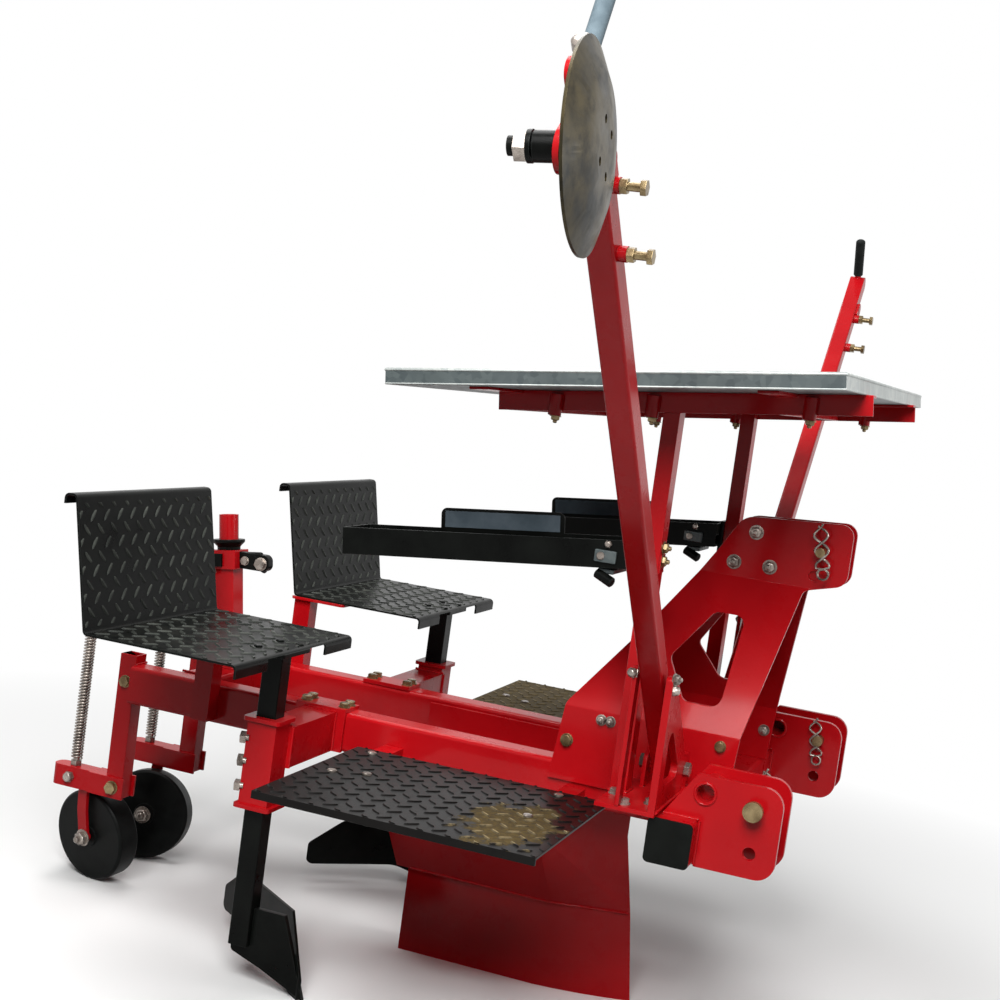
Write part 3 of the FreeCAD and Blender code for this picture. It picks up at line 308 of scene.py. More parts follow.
def moulded(name, light, deep, rough, grain):
    """Moulded polypropylene or rubber.

    The eye gets one even colour with a moulded grain, drawn coarser than the real half
    millimetre so that it shows.
    """
    material, place = new_material(name)
    cloud = add_node(material, "TexNoise", {}, {
        "Vector": place, "Scale": per_mm(30.0), "Detail": 4.0})
    drift = add_node(material, "MapRange", {}, {0: cloud, 1: 0.3, 2: 0.7})
    colour = add_node(material, "Mix", {"data_type": "RGBA"}, {
        0: drift, 6: srgb(light), 7: srgb(deep)})
    fine = add_node(material, "TexNoise", {}, {
        "Vector": place, "Scale": per_mm(grain), "Detail": 2.0})
    bump = add_node(material, "Bump", {}, {
        "Strength": 0.3, "Distance": 0.0004, "Height": fine})
    shine = add_node(material, "MapRange", {}, {0: drift, 3: rough, 4: rough + 0.12})
    shader = add_node(material, "BsdfPrincipled", {}, {
        "Base Color": colour.outputs[2], "Roughness": shine, "Normal": bump, "IOR": 1.5,
        "Specular IOR Level": 0.08})
    return close_material(material, shader)


def oiled_steel(name):
    """Hot-rolled boron steel with an oil film.

    The eye gets a dark brown-grey metal with faint dark streaks from the rolling of the dish.
    """
    material, place = new_material(name)
    cloud = add_node(material, "TexNoise", {}, {
        "Vector": place, "Scale": per_mm(80.0), "Detail": 5.0, "Roughness": 0.6})
    film = add_node(material, "MapRange", {}, {0: cloud, 1: 0.38, 2: 0.62})
    colour = add_node(material, "Mix", {"data_type": "RGBA"}, {
        0: film, 6: srgb("#131411"), 7: srgb("#4a412a")})
    streak = add_node(material, "TexNoise", {}, {
        "Vector": add_node(material, "Mapping", {}, {0: place, 3: (4.0, 1.0, 1.0)}),
        "Scale": per_mm(30.0), "Detail": 5.0, "Roughness": 0.65})
    dark = add_node(material, "MapRange", {}, {
        0: streak, 1: 0.52, 2: 0.66, 3: 0.0, 4: 0.6})
    colour = add_node(material, "Mix", {"data_type": "RGBA"}, {
        0: dark, 6: colour.outputs[2], 7: srgb("#100f0b")})
    shine = add_node(material, "MapRange", {}, {
        0: streak, 1: 0.3, 2: 0.7, 3: 0.3, 4: 0.44})
    shader = add_node(material, "BsdfPrincipled", {}, {
        "Base Color": colour.outputs[2], "Roughness": shine, "Metallic": 0.4,
        "Specular IOR Level": 0.15})
    return close_material(material, shader)


FINISHES = {
    "red_enamel": enamel("red_alkyd_enamel", "#c6121a", "#b50d15", 0.24),
    "black_enamel": powder_coat("black_powder_coat", "#060706", "#101210", 0.3, 0.06),
    "yellow_zinc": plated("yellow_zinc_plate", "#988560", "#5f4d31", 0.24),
    "bright_zinc": plated("bright_zinc_plate", "#aea49b", "#6f665f", 0.26),
    "galvanised_sheet": galvanised("galvanised_sheet", "#444d4f", "#596262", "#343e3d"),
    "black_plastic": moulded("black_polypropylene", "#090b09", "#111311", 0.42, 1.5),
    "grip_rubber": moulded("slate_grey_rubber", "#56646c", "#73828a", 0.5, 1.2),
    "grip_black": moulded("black_rubber_grip", "#141716", "#222524", 0.5, 1.2),
    "disc_steel": oiled_steel("oiled_disc_steel"),
    "press_wheel_rubber": moulded("solid_black_rubber", "#080909", "#121413", 0.36, 2.0),
}
SOIL = trodden_plate("soiled_checker_plate", "#3f3423", "#75643f")
# paler soil on the lozenges than on the plate between them: soil, with a painted highlight on the
# crests
SOIL_CRESTS_HIGHLIT = trodden_plate("soiled_lozenges_painted_highlight", "#8d7b58", "#b8a67e")
# paler zinc for the table's hems and front rim: a painted highlight
PAINTED_HIGHLIGHT_ZINC = galvanised("galvanised_painted_highlight", "#b4bbb9", "#cfd3cf", "#828a88")
# slate grey for the tray guards: a painted reflection on glossy black sheet
PAINTED_REFLECTION = powder_coat("slate_grey_painted_reflection", "#4f5b63", "#65717a", 0.4, 0.05)
# the seat lozenges are painted paler than the seat: partly rubbed paint, partly a painted highlight on
# them
RUBBED_AND_HIGHLIT = powder_coat("rubbed_powder_coat_painted_highlight", "#262825", "#4d504b", 0.26, 0.1)


# ---- modelling helpers
def only(piece):
    """Selects one object and makes it the active one."""
    bpy.ops.object.select_all(action="DESELECT")
    piece.select_set(True)
    bpy.context.view_layer.objects.active = piece


def smooth(piece, degrees):
    """Soft shading over small turns, with the big faces kept flat."""
    only(piece)
    bpy.ops.object.shade_smooth_by_angle(angle=math.radians(degrees))
    return modify(piece, "WEIGHTED_NORMAL", keep_sharp=True)


def modify(piece, kind, **settings):
    only(piece)
    modifier = piece.modifiers.new(kind.lower(), kind)
    for name, value in settings.items():
        setattr(modifier, name, value)
    bpy.ops.object.modifier_apply(modifier=modifier.name)
    return piece


def settle(piece, body, slot, finish=None):
    """Paints a finished piece, with its slot's finish unless another is given, and hangs it on its
    body.
    """
    piece.data.materials.clear()
    piece.data.materials.append(finish or FINISHES[slot])
    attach(piece, body)
    return piece


def open_all(piece):
    """Opens a piece for editing with all of it selected."""
    only(piece)
    bpy.ops.object.mode_set(mode="EDIT")
    bpy.ops.mesh.select_all(action="SELECT")


def pick_faces(piece, test):
    """Selects the faces whose centre and normal pass a test, in edit mode."""
    only(piece)
    bpy.ops.object.mode_set(mode="EDIT")
    bpy.ops.mesh.select_mode(type="FACE")
    bpy.ops.mesh.select_all(action="DESELECT")
    bpy.ops.object.mode_set(mode="OBJECT")
    for face in piece.data.polygons:
        face.select = test(face.center, face.normal)
    bpy.ops.object.mode_set(mode="EDIT")


def done_editing():
    bpy.ops.object.mode_set(mode="OBJECT")


def barrel(sides, radius, low, high):
    """A prism or cylinder along Z, in millimetres, to start a small part from."""
    bpy.ops.object.select_all(action="DESELECT")
    bpy.ops.mesh.primitive_cylinder_add(vertices=sides, radius=radius / 1000,
                                        depth=(high - low) / 1000,
                                        location=(0, 0, (low + high) / 2000))
    piece = bpy.context.object
    bpy.ops.object.transform_apply(location=True, rotation=True, scale=True)
    return piece


def slab(long, wide, high, edge):
    """A block with rounded edges, standing on the origin, in millimetres."""
    bpy.ops.object.select_all(action="DESELECT")
    bpy.ops.mesh.primitive_cube_add(size=0.001, location=(0, 0, 0.0005))
    piece = bpy.context.object
    bpy.ops.object.transform_apply(location=True, rotation=True, scale=True)
    open_all(piece)
    bpy.ops.transform.resize(value=(long, wide, high), center_override=(0, 0, 0))
    done_editing()
    return modify(piece, "BEVEL", width=edge / 1000, segments=2)


def turned_end(piece, inset, rise, level):
    """Turns off the rim of the end face at a level: inset narrows it and rise lifts it."""
    pick_faces(piece, lambda centre, normal: abs(centre.z - level / 1000) < 1e-5
               and abs(normal.z) > 0.9)
    bpy.ops.mesh.inset(thickness=inset / 1000)
    bpy.ops.transform.translate(value=(0, 0, rise / 1000))
    done_editing()
    return piece


def joined(name, parts):
    """Joins separate shapes into one piece."""
    bpy.ops.object.select_all(action="DESELECT")
    for part in parts:
        part.select_set(True)
    bpy.context.view_layer.objects.active = parts[0]
    bpy.ops.object.join()
    parts[0].name = name
    return parts[0]


def fitted(name, parts, slot, finish=None, degrees=40.0):
    """Joins the shapes of a piece that is fixed to the frame, smooths it and paints it."""
    return settle(smooth(joined(name, parts), degrees), "frame", slot, finish)


PATTERNS = []


def pattern(name, parts, degrees=40.0):
    """A small part modelled once along +Z at the origin, to be copied to its places."""
    piece = smooth(joined(name, parts), degrees)
    PATTERNS.append(piece)
    return piece


def facing(place, direction, size=1.0, turn=0.0):
    """The placing of a small part: its foot, the way it points, its size and its turn."""
    way = Vector(direction).to_track_quat("Z", "X").to_matrix().to_4x4()
    return (Matrix.Translation(at(*place)) @ way @ Matrix.Rotation(math.radians(turn), 4, "Z")
            @ Matrix.Scale(size, 4))


def copied(source, placings, name, slot):
    """Copies a small part to each placing and joins the copies as one piece of the frame."""
    copies = []
    for placing in placings:
        copy = bpy.data.objects.new(name, source.data.copy())
        scene.collection.objects.link(copy)
        copy.data.transform(placing)
        copies.append(copy)
    return settle(joined(name, copies), "frame", slot)


def wire(name, points, radius, closed=False, sides=2, swell=None):
    """A round wire or bead through points in metres; swell gives its thickness at each point."""
    bpy.ops.object.select_all(action="DESELECT")
    bpy.ops.curve.primitive_nurbs_path_add()
    piece = bpy.context.object
    piece.name = name
    curve = piece.data
    curve.splines.clear()
    line = curve.splines.new("POLY")
    line.points.add(len(points) - 1)
    for i, point in enumerate(points):
        line.points[i].co = (*point, 1.0)
        line.points[i].radius = swell[i % len(swell)] if swell else 1.0
    line.use_cyclic_u = closed
    curve.bevel_depth = radius / 1000
    curve.bevel_resolution = sides
    curve.use_fill_caps = not closed
    only(piece)
    bpy.ops.object.convert(target="MESH")
    return bpy.context.object


def bead(corners):
    """A run of weld along corners in millimetres: overlapping ripples 3 mm apart."""
    points = []
    for start, end in zip(corners, corners[1:]):
        start, end = at(*start), at(*end)
        steps = max(2, round((end - start).length / 0.003))
        points += [start.lerp(end, i / steps) for i in range(steps)]
    points.append(at(*corners[-1]))
    return wire("bead", points, 3.2, sides=1, swell=(1.0, 0.78))


def whole_copy(node, name):
    """A copy of a CAD piece with its triangles merged back into whole faces."""
    source = frame["nodes"][node]
    piece = bpy.data.objects.new(name, source.data.copy())
    scene.collection.objects.link(piece)
    open_all(piece)
    bpy.ops.mesh.remove_doubles(threshold=0.00002)
    bpy.ops.mesh.dissolve_limited(angle_limit=math.radians(0.5))
    done_editing()
    if piece.data.has_custom_normals:
        bpy.ops.mesh.customdata_custom_splitnormals_clear()
    return piece


EDGE_ANGLE = 35.0


def broken_edges(node, width, finish=None, shape=None):
    """A CAD piece with its edges broken, after any more shaping."""
    piece = whole_copy(node, node + "_finished")
    if shape:
        shape(piece)
    modify(piece, "BEVEL", width=width / 1000, segments=2, limit_method="ANGLE",
           angle_limit=math.radians(EDGE_ANGLE), use_clamp_overlap=True)
    smooth(piece, EDGE_ANGLE)
    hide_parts(node)
    return settle(piece, BODY_OF[node], SLOT_OF[node], finish)


def repainted(piece, finish, test):
    """Gives the faces whose place passes a test another finish."""
    piece.data.materials.append(finish)
    for face in piece.data.polygons:
        if test(face.center):
            face.material_index = len(piece.data.materials) - 1


def bored(piece, placings, radius, depth):
    """Drills holes of a radius through a piece at the placings."""
    for placing in placings:
        drill = barrel(16, radius, -depth / 2, depth / 2)
        drill.data.transform(placing)
        modify(piece, "BOOLEAN", operation="DIFFERENCE", object=drill, solver="EXACT")
        bpy.data.objects.remove(drill)


# ---- the frames that turned pieces are placed in
reach = JOINTS["marker_reach_left"]["axis"]
MARKER_ANGLE = math.atan2(reach[1], reach[2])
TABLE_X, TABLE_Z = -121.0, 1226.0
TABLE_TILT = math.radians(6.8)
DISC_TURN = math.radians(6.0)


def arm_frame(side, joint):
    """The frame of a marker arm at a joint of it: z runs out along the arm."""
    turn = Matrix.Rotation(-side * MARKER_ANGLE, 4, "X")
    return Matrix.Translation(JOINTS[joint]["pos_m"]) @ turn


def on_table(x, y, z):
    """A place on the tilted table, from its middle, as millimetres of the whole machine."""
    return (TABLE_X + x * math.cos(TABLE_TILT) - z * math.sin(TABLE_TILT), y,
            TABLE_Z + x * math.sin(TABLE_TILT) + z * math.cos(TABLE_TILT))


def shift(x, y, z):
    return Matrix.Translation(Vector((x, y, z)) / 1000)


def pointing(direction):
    return Vector(direction).to_track_quat("Z", "X").to_matrix().to_4x4()


disc_frame = arm_frame(-1, "marker_disc_spin") @ Matrix.Rotation(DISC_TURN, 4, "Z")


# ---- the CAD pieces, with broken edges
BOLT_CIRCLE_RADIUS, BOLT_HOLE_RADIUS = 33.0, 5.5


def disc_holes(piece):
    """Four bolt holes on a circle through the flat of the disc."""
    holes = []
    for degrees in (36.0, 107.0, 216.0, 287.0):
        turn = math.radians(degrees) - MARKER_ANGLE
        place = shift(60, BOLT_CIRCLE_RADIUS * math.cos(turn), BOLT_CIRCLE_RADIUS * math.sin(turn))
        holes.append(disc_frame @ place @ pointing((1, 0, 0)))
    bored(piece, holes, BOLT_HOLE_RADIUS, 60)


# how wide the edges of each piece are broken, in millimetres
EDGES = {
    "toolbar": 2.4, "rails": 2.4, "rear_cross_tube": 2.4, "headstock_plate_right": 1.2,
    "headstock_plate_left": 1.2, "hitch_plates": 1.5, "opener_shoe": 1.5, "shoe_mounts": 1.5,
    "shank_arms": 2.4, "shanks": 2.0, "share_right": 1.2, "share_left": 1.2,
    "seat_right": 0.8, "seat_left": 0.8, "seat_posts": 2.0,
    "footplate_bearers": 1.0, "depth_post": 1.0, "depth_clamp": 1.5, "depth_lever": 1.5,
    "wheel_yoke": 1.5, "wheel_legs": 2.0, "wheel_carriers": 1.5, "table_tray": 0.5,
    "table_frame": 1.0, "table_legs": 2.0, "seedling_trays": 0.7, "tray_brackets": 1.0,
    "marker_brackets": 1.5, "marker_arm_right": 2.0, "marker_arm_left": 2.0,
    "marker_bar_right": 1.0, "marker_bar_left": 1.0, "headstock_spacers": 1.0,
    "top_link_pin": 1.0, "hitch_pins": 1.0, "marker_pins": 1.0, "spring_rods": 1.0,
    "marker_clamps_right": 0.8, "marker_clamps_left": 0.8, "toolbar_end_caps": 2.0,
    "marker_grip_right": 2.0, "marker_grip_left": 2.0,
    "press_wheel_right": 2.0, "press_wheel_left": 2.0,
}
for node, width in EDGES.items():
    broken_edges(node, width)
broken_edges("footplates", 1.0, SOIL)
broken_edges("marker_disc", 0.8, shape=disc_holes)


def along_axle(place):
    """How far out from the disc's axle a place is, and how far along it, in millimetres."""
    place = disc_frame.inverted() @ place
    return math.hypot(place.y, place.z) * 1000, place.x * 1000


# How far the bush and the nut reach out from the axle's middle line, and where the bush, the
# axle and the nut end along it.
BUSH_REACH, NUT_REACH = 21.0, 23.0
BUSH_END, AXLE_END, NUT_INNER, NUT_OUTER = 23.5, 23.0, -30.0, -45.9


def on_bush(place):
    out, along = along_axle(place)
    return out < BUSH_REACH and abs(along) < BUSH_END


def on_nut(place):
    out, along = along_axle(place)
    return out < NUT_REACH and NUT_OUTER < along < NUT_INNER


def on_axle_end(place):
    out, along = along_axle(place)
    return out < NUT_REACH and (along <= NUT_OUTER or NUT_INNER <= along < AXLE_END)


def on_table_front(place):
    """Whether a place is on the front rim, over 328.5 mm ahead of the middle of the table."""
    ahead = Vector((math.cos(TABLE_TILT), 0, math.sin(TABLE_TILT)))
    return (place - at(TABLE_X, 0, TABLE_Z)).dot(ahead) > 0.3285


# the front rim gets the paler zinc: a painted highlight where it faces the front lamp
repainted(bpy.data.objects["table_tray_finished"], PAINTED_HIGHLIGHT_ZINC, on_table_front)
repainted(bpy.data.objects["marker_bar_right_finished"], FINISHES["black_enamel"], on_bush)
repainted(bpy.data.objects["marker_disc_finished"], FINISHES["bright_zinc"], on_nut)
repainted(bpy.data.objects["marker_disc_finished"], FINISHES["black_enamel"], on_axle_end)


# ---- checker plate lozenges
PITCH = (44.0, 50.0)
LOZENGE_LONG, LOZENGE_WIDE, LOZENGE_HIGH, LOZENGE_TURN = 30.0, 9.0, 2.1, 48.0


def lozenge(turn, x, y):
    """One raised lozenge of rolled checker plate, with sloping sides."""
    piece = barrel(8, LOZENGE_LONG / 2, -0.2, LOZENGE_HIGH)
    open_all(piece)
    bpy.ops.transform.resize(value=(1.0, LOZENGE_WIDE / LOZENGE_LONG, 1.0))
    done_editing()
    pick_faces(piece, lambda centre, normal: normal.z > 0.9)
    bpy.ops.transform.resize(value=(0.8, 0.4, 1.0))
    done_editing()
    piece.data.transform(shift(x, y, 0) @ Matrix.Rotation(math.radians(turn), 4, "Z"))
    return piece


def checker_sheet(name, corner, along, across, long, wide, finish):
    """Lozenges over a flat sheet: from a corner, along it for one size, across it for the other."""
    field = joined(name, [lozenge(LOZENGE_TURN, 0, 0),
                          lozenge(-LOZENGE_TURN, PITCH[0] / 2, PITCH[1] / 2)])
    for size, pitch, step in ((long, PITCH[0], (PITCH[0], 0, 0)), (wide, PITCH[1], (0, PITCH[1], 0))):
        modify(field, "ARRAY", count=math.ceil(size / pitch) + 1, use_relative_offset=False,
               use_constant_offset=True, constant_offset_displace=Vector(step) / 1000)
    # the sheet was cut through its pattern, so its edges cut lozenges too
    for place, normal in (((0, 0, 0), (-1, 0, 0)), ((long, 0, 0), (1, 0, 0)),
                          ((0, 0, 0), (0, -1, 0)), ((0, wide, 0), (0, 1, 0))):
        open_all(field)
        bpy.ops.mesh.bisect(plane_co=Vector(place) / 1000, plane_no=normal, use_fill=True,
                            clear_outer=True)
        done_editing()
    along, across = Vector(along).normalized(), Vector(across).normalized()
    turned = Matrix((along, across, along.cross(across))).transposed().to_4x4()
    field.data.transform(Matrix.Translation(at(*corner)) @ turned)
    smooth(field, 20.0)
    return settle(field, "frame", "black_enamel", finish)


SEAT_FRONT_X, SEAT_BEND_X, SEAT_LEAN = -764.0, -1060.0, math.radians(11.0)
SEAT_WIDE, SEAT_LONG, SEAT_HIGH = 474.0, 286.0, 224.0
FOOTPLATE_FRONT_X, FOOTPLATE_WIDE, FOOTPLATE_LONG = -157.0, 433.0, 511.0
up_the_back = Vector((-math.sin(SEAT_LEAN), 0, math.cos(SEAT_LEAN)))
for side, edge in (("right", -657.0), ("left", 183.0)):
    checker_sheet("seat_pan_lozenges_" + side, (SEAT_FRONT_X, edge, SEAT_TOP),
                  (0, 1, 0), (-1, 0, 0), SEAT_WIDE, SEAT_LONG, RUBBED_AND_HIGHLIT)
    # the back's pattern starts 10 mm above the bend
    checker_sheet("seat_back_lozenges_" + side,
                  Vector((SEAT_BEND_X, edge, SEAT_TOP)) + 10 * up_the_back,
                  (0, 1, 0), up_the_back, SEAT_WIDE, SEAT_HIGH, RUBBED_AND_HIGHLIT)
for side, edge in (("right", -703.0), ("left", 270.0)):
    checker_sheet("footplate_lozenges_" + side, (FOOTPLATE_FRONT_X, edge, FOOTPLATE_TOP),
                  (0, 1, 0), (-1, 0, 0), FOOTPLATE_WIDE, FOOTPLATE_LONG, SOIL_CRESTS_HIGHLIT)


# ---- fasteners, each kind modelled once
washer = turned_end(barrel(20, 11.0, 0.0, 1.6), 0.6, 0.4, 1.6)
head = turned_end(barrel(6, 9.8, 1.6, 8.0), 1.5, 0.9, 8.0)
hex_bolt = pattern("hex_bolt_pattern", [washer, head])

washer = turned_end(barrel(20, 12.5, 0.0, 1.6), 0.6, 0.4, 1.6)
nut = turned_end(turned_end(barrel(6, 10.2, 1.6, 7.5), 1.2, 1.6, 7.5), 2.6, 1.2, 9.1)
end = turned_end(turned_end(barrel(12, 4.6, 9.0, 14.0), 1.3, 1.3, 14.0), 1.4, 0.5, 15.3)
stud_nut = pattern("stud_nut_pattern", [washer, nut, end])

foot = barrel(6, 9.8, 0.0, 5.0)
dome = turned_end(turned_end(barrel(14, 8.6, 5.0, 8.0), 1.8, 2.2, 8.0), 2.6, 1.6, 10.2)
cap_nut = pattern("cap_nut_pattern", [foot, dome])

flat_head = turned_end(barrel(16, 9.0, 0.0, 2.6), 1.5, 1.4, 2.6)
button = pattern("button_head_pattern", [flat_head])

square = turned_end(barrel(4, 9.2, 5.0, 13.0), 1.3, 0.8, 13.0)
neck = barrel(12, 5.0, 0.0, 5.0)
set_bolt = pattern("square_set_bolt_pattern", [neck, square], 30.0)

copied(stud_nut, [facing((x, side * 31, z), (0, side, 0), 1.15, turn) for side in (-1, 1)
                  for x, z, turn in ((-2, 980, 12), (-37, 917, 35), (33, 918, 50))],
       "headstock_ear_nuts", "bright_zinc")
copied(hex_bolt, [facing((x, side * HEADSTOCK_FOOT_Y, z), (0, side, 0), size, 20)
                  for side in (-1, 1) for x, z, size in ((-273, 543, 1.15), (20, 590, 1.0))],
       "headstock_foot_bolts", "yellow_zinc")
copied(stud_nut, [facing((x, side * HEADSTOCK_FOOT_Y, z), (0, side, 0), 0.85, 20)
                  for side in (-1, 1) for x, z in ((-211, 594), (-193, 594))],
       "headstock_foot_nuts", "bright_zinc")
copied(stud_nut, [facing((34, side * (HEADSTOCK_FOOT_Y - 8), 560), (0, -side, 0), 0.95, 8)
                  for side in (-1, 1)],
       "headstock_front_nuts", "bright_zinc")

copied(cap_nut, [facing((x, side * (BRACKET_Y + out), 742), (ahead, side * across, 0), size)
                 for x, out, ahead, across, size in ((-99, 13, -0.4, 1, 0.95), (-92, 10, -1, 0.2, 0.8))
                 for side in (-1, 1)],
       "gusset_lock_nuts", "bright_zinc")
copied(cap_nut, [facing((-28, side * BRACKET_Y, 722), (1, 0, 0), 0.95) for side in (-1, 1)],
       "gusset_cap_nuts", "bright_zinc")
copied(stud_nut, [facing((-28, side * (BRACKET_Y + 1), 741), (1, side * 0.25, 0.2), 0.9, 15)
                  for side in (-1, 1)],
       "gusset_stud_nuts", "bright_zinc")
copied(hex_bolt, [facing((x, side * y, FOOT_TOP), (0, 0, 1), 1.15, turn)
                  for side in (-1, 1)
                  for x, y, turn in ((-90, 436, 10), (-50, 400, 25), (-120, 380, 5))],
       "marker_bracket_foot_bolts", "bright_zinc")

copied(set_bolt, [facing((SHANK_X - 24, side * 448.0, z), (-1, side * 0.35, 0), 1.25, turn)
                  for side in (-1, 1) for z, turn in ((478, 20), (434, 5), (386, 35))],
       "shank_set_bolts", "bright_zinc")
copied(hex_bolt, [facing((SHANK_X + x, side * y, FOOT_TOP), (0, 0, 1), 1.1, 10)
                  for side in (-1, 1) for y in (150, 176) for x in (-42, 42)],
       "shank_saddle_bolts", "yellow_zinc")
copied(button, [facing((SHANK_X + x, side * y, SEAT_TOP), (0, 0, 1), 0.9)
                for side in (-1, 1) for y in (376, 464) for x in (-21, 21)],
       "seat_bolt_heads", "black_enamel")
copied(button, [facing((x, side * y, FOOTPLATE_TOP), (0, 0, 1), 1.0)
                for side in (-1, 1)
                for x, y in ((-568, 451), (-625, 300), (-625, 480), (-245, 300), (-245, 480))],
       "footplate_bolt_heads", "bright_zinc")

# bosses on the table runners, with a clamp bolt up through each
boss = turned_end(turned_end(barrel(20, 12.0, -20.0, 18.0), 1.5, 1.0, 18.0), 2.0, -1.0, -20.0)
runner_boss = pattern("runner_boss_pattern", [boss])
boss_places = [(x, side) for side in (-1, 1) for x in (-216, -38, 238)]
copied(runner_boss, [facing(on_table(x, side * RUNNER_Y, -24), (0, 0, 1))
                     for x, side in boss_places],
       "table_runner_bosses", "red_enamel")
copied(stud_nut, [facing(on_table(x, side * RUNNER_Y, -45), (0, 0, -1), 0.85, 15)
                  for x, side in boss_places],
       "table_runner_bolt_ends", "yellow_zinc")
copied(stud_nut, [facing((-106, side * TABLE_LEG_Y, z), (1, 0, 0), 0.95, 10)
                  for side in (-1, 1) for z in (951, 927)],
       "tray_bracket_nuts", "yellow_zinc")
copied(cap_nut, [facing((-190, side * (TABLE_LEG_Y + way * 60), 947), (0, side * way, 0), 0.7)
                 for side in (-1, 1) for way in (-1, 1)],
       "tray_side_nuts", "bright_zinc")


# ---- hairpin clips through the linkage pins
CLIP_WAVE, CLIP_SWING, CLIP_CROSSING, CLIP_LOOP = 58.0, 13.0, 2.4, 10.5


def clip_points():
    """Two strands that wave across each other, closed by a loop, in metres."""
    down = []
    for step in range(20):
        wave = 2 * math.pi * 4 * step / CLIP_WAVE
        down.append(Vector((CLIP_SWING * math.sin(wave), CLIP_CROSSING * math.cos(wave),
                            48 - 4 * step)))
    loop = []
    for step in range(1, 10):
        turn = math.radians(90 + 36 * step)
        loop.append(Vector((CLIP_LOOP * math.cos(turn), 0, -40 + CLIP_LOOP * math.sin(turn))))
    up = [Vector((-p.x, -p.y, p.z)) for p in reversed(down)]
    return [p / 1000 for p in [Vector((5, 3, 55))] + down + loop + up + [Vector((-4, -3, 51))]]


clip = pattern("hairpin_clip_pattern", [wire("clip", clip_points(), 2.5, sides=1)], 60.0)


def hung(x, y, z, lean, size=1.0):
    """A clip hung through a pin end: it faces the side and leans forward as it drops."""
    return (Matrix.Translation(at(x, y, z)) @ Matrix.Rotation(math.radians(lean), 4, "Y")
            @ Matrix.Scale(size, 4))


copied(clip, [hung(131, -60, 963, -11)], "top_link_clip", "bright_zinc")
copied(clip, [hung(130, side * 288, 536, -9, 0.92) for side in (-1, 1)],
       "lower_link_clips", "bright_zinc")

# ---- cross tubes in the third holes of the hitch plates
HOLE_X, HOLE_Z, HOLE_RADIUS, RIM_RADIUS = 44.0, 548.0, 17.5, 18.5
CROSS_TUBE_LONG, CROSS_TUBE_WALL = 76.0, 4.5
tubes = []
for side in (-1, 1):
    bpy.ops.object.select_all(action="DESELECT")
    bpy.ops.mesh.primitive_cylinder_add(vertices=32, radius=HOLE_RADIUS / 1000,
                                        depth=CROSS_TUBE_LONG / 1000, end_fill_type="NOTHING")
    tube = bpy.context.object
    modify(tube, "SOLIDIFY", thickness=CROSS_TUBE_WALL / 1000, offset=0.0)
    tube.data.transform(facing((HOLE_X, side * 355, HOLE_Z), (0, 1, 0)))
    tubes.append(tube)
    for y in (304, 406):
        mouth = facing((HOLE_X, side * y, HOLE_Z), (0, 1, 0), RIM_RADIUS / 1000)
        ring = [mouth @ Vector((math.cos(turn), math.sin(turn), 0))
                for turn in (math.radians(12 * step) for step in range(30))]
        tubes.append(wire("rim", ring, 2.6, closed=True))
    wall = turned_end(barrel(32, 16.5, 0.0, 4.0), 1.0, 0.5, 4.0)
    wall.data.transform(facing((HOLE_X, side * 372, HOLE_Z), (0, side, 0)))
    tubes.append(wall)
fitted("hitch_cross_tubes", tubes, "red_enamel")

# a bush closes the spare top link hole between the headstock plates
bush = turned_end(turned_end(barrel(28, 13.0, -22.5, 22.5), 1.5, 0.8, 22.5), 1.5, -0.8, -22.5)
bush.data.transform(facing((118, 0, 915), (0, 1, 0)))
fitted("top_link_spare_bush", [bush], "red_enamel")

# ---- springs over the press wheel rods
COIL_MEAN, COIL_WIRE, COIL_PITCH = 10.8, 2.1, 6.6
for side, name in SIDES:
    bpy.ops.object.select_all(action="DESELECT")
    bpy.ops.mesh.primitive_circle_add(vertices=6, radius=COIL_WIRE / 1000)
    coil = bpy.context.object
    coil.name = "press_spring_" + name
    open_all(coil)
    bpy.ops.transform.rotate(value=math.radians(90), orient_axis="X", center_override=(0, 0, 0))
    bpy.ops.transform.translate(value=(COIL_MEAN / 1000, 0, 0))
    done_editing()
    modify(coil, "SCREW", axis="Z", angle=2 * math.pi, screw_offset=COIL_PITCH / 1000,
           iterations=54, steps=14, render_steps=14, use_merge_vertices=False)
    open_all(coil)
    bpy.ops.mesh.fill_holes(sides=8)
    bpy.ops.mesh.select_all(action="SELECT")
    bpy.ops.mesh.normals_make_consistent(inside=False)
    done_editing()
    coil.data.transform(Matrix.Translation(at(ROD_X, side * 150.0, 268)))
    settle(smooth(coil, 60.0), "frame", "bright_zinc")

# ---- fasteners of the press wheels
LEG_X, CARRIER_Z = -1260.0, 231.0
hub_ends, strap_nuts = [], []
for side, name in SIDES:
    inward = -side * Vector(JOINTS["press_wheel_spin_" + name]["axis"])
    centre = joint_place("press_wheel_spin_" + name)
    hub_ends.append(facing(centre + inward * 40.0, inward, 1.5, 10))
    strap_nuts.append(facing(centre - inward * 42.0, -inward, 1.5, 25))
copied(stud_nut, hub_ends, "wheel_hub_nuts", "bright_zinc")
copied(stud_nut, strap_nuts, "wheel_strap_nuts", "bright_zinc")
copied(cap_nut, [facing((ROD_X, side * 170.0, CARRIER_Z), (0, side, 0), 1.25) for side in (-1, 1)],
       "wheel_carrier_caps", "bright_zinc")
copied(hex_bolt, [facing((LEG_X, side * y, z), (0, side, 0), size)
                  for y, z, size in ((176.0, CARRIER_Z, 1.35), (170.5, 462.0, 1.2))
                  for side in (-1, 1)],
       "wheel_leg_bolts", "yellow_zinc")

# ---- depth clamp: a lever bolt, two stop bolts and their nuts
DEPTH_LEAN = math.radians(8.0)


def on_post(x, y, z):
    """A place on the leaning depth post, from the middle of its foot on the cross tube."""
    return (CROSS_X + x * math.cos(DEPTH_LEAN) - z * math.sin(DEPTH_LEAN), y,
            TUBE_TOP + x * math.sin(DEPTH_LEAN) + z * math.cos(DEPTH_LEAN))


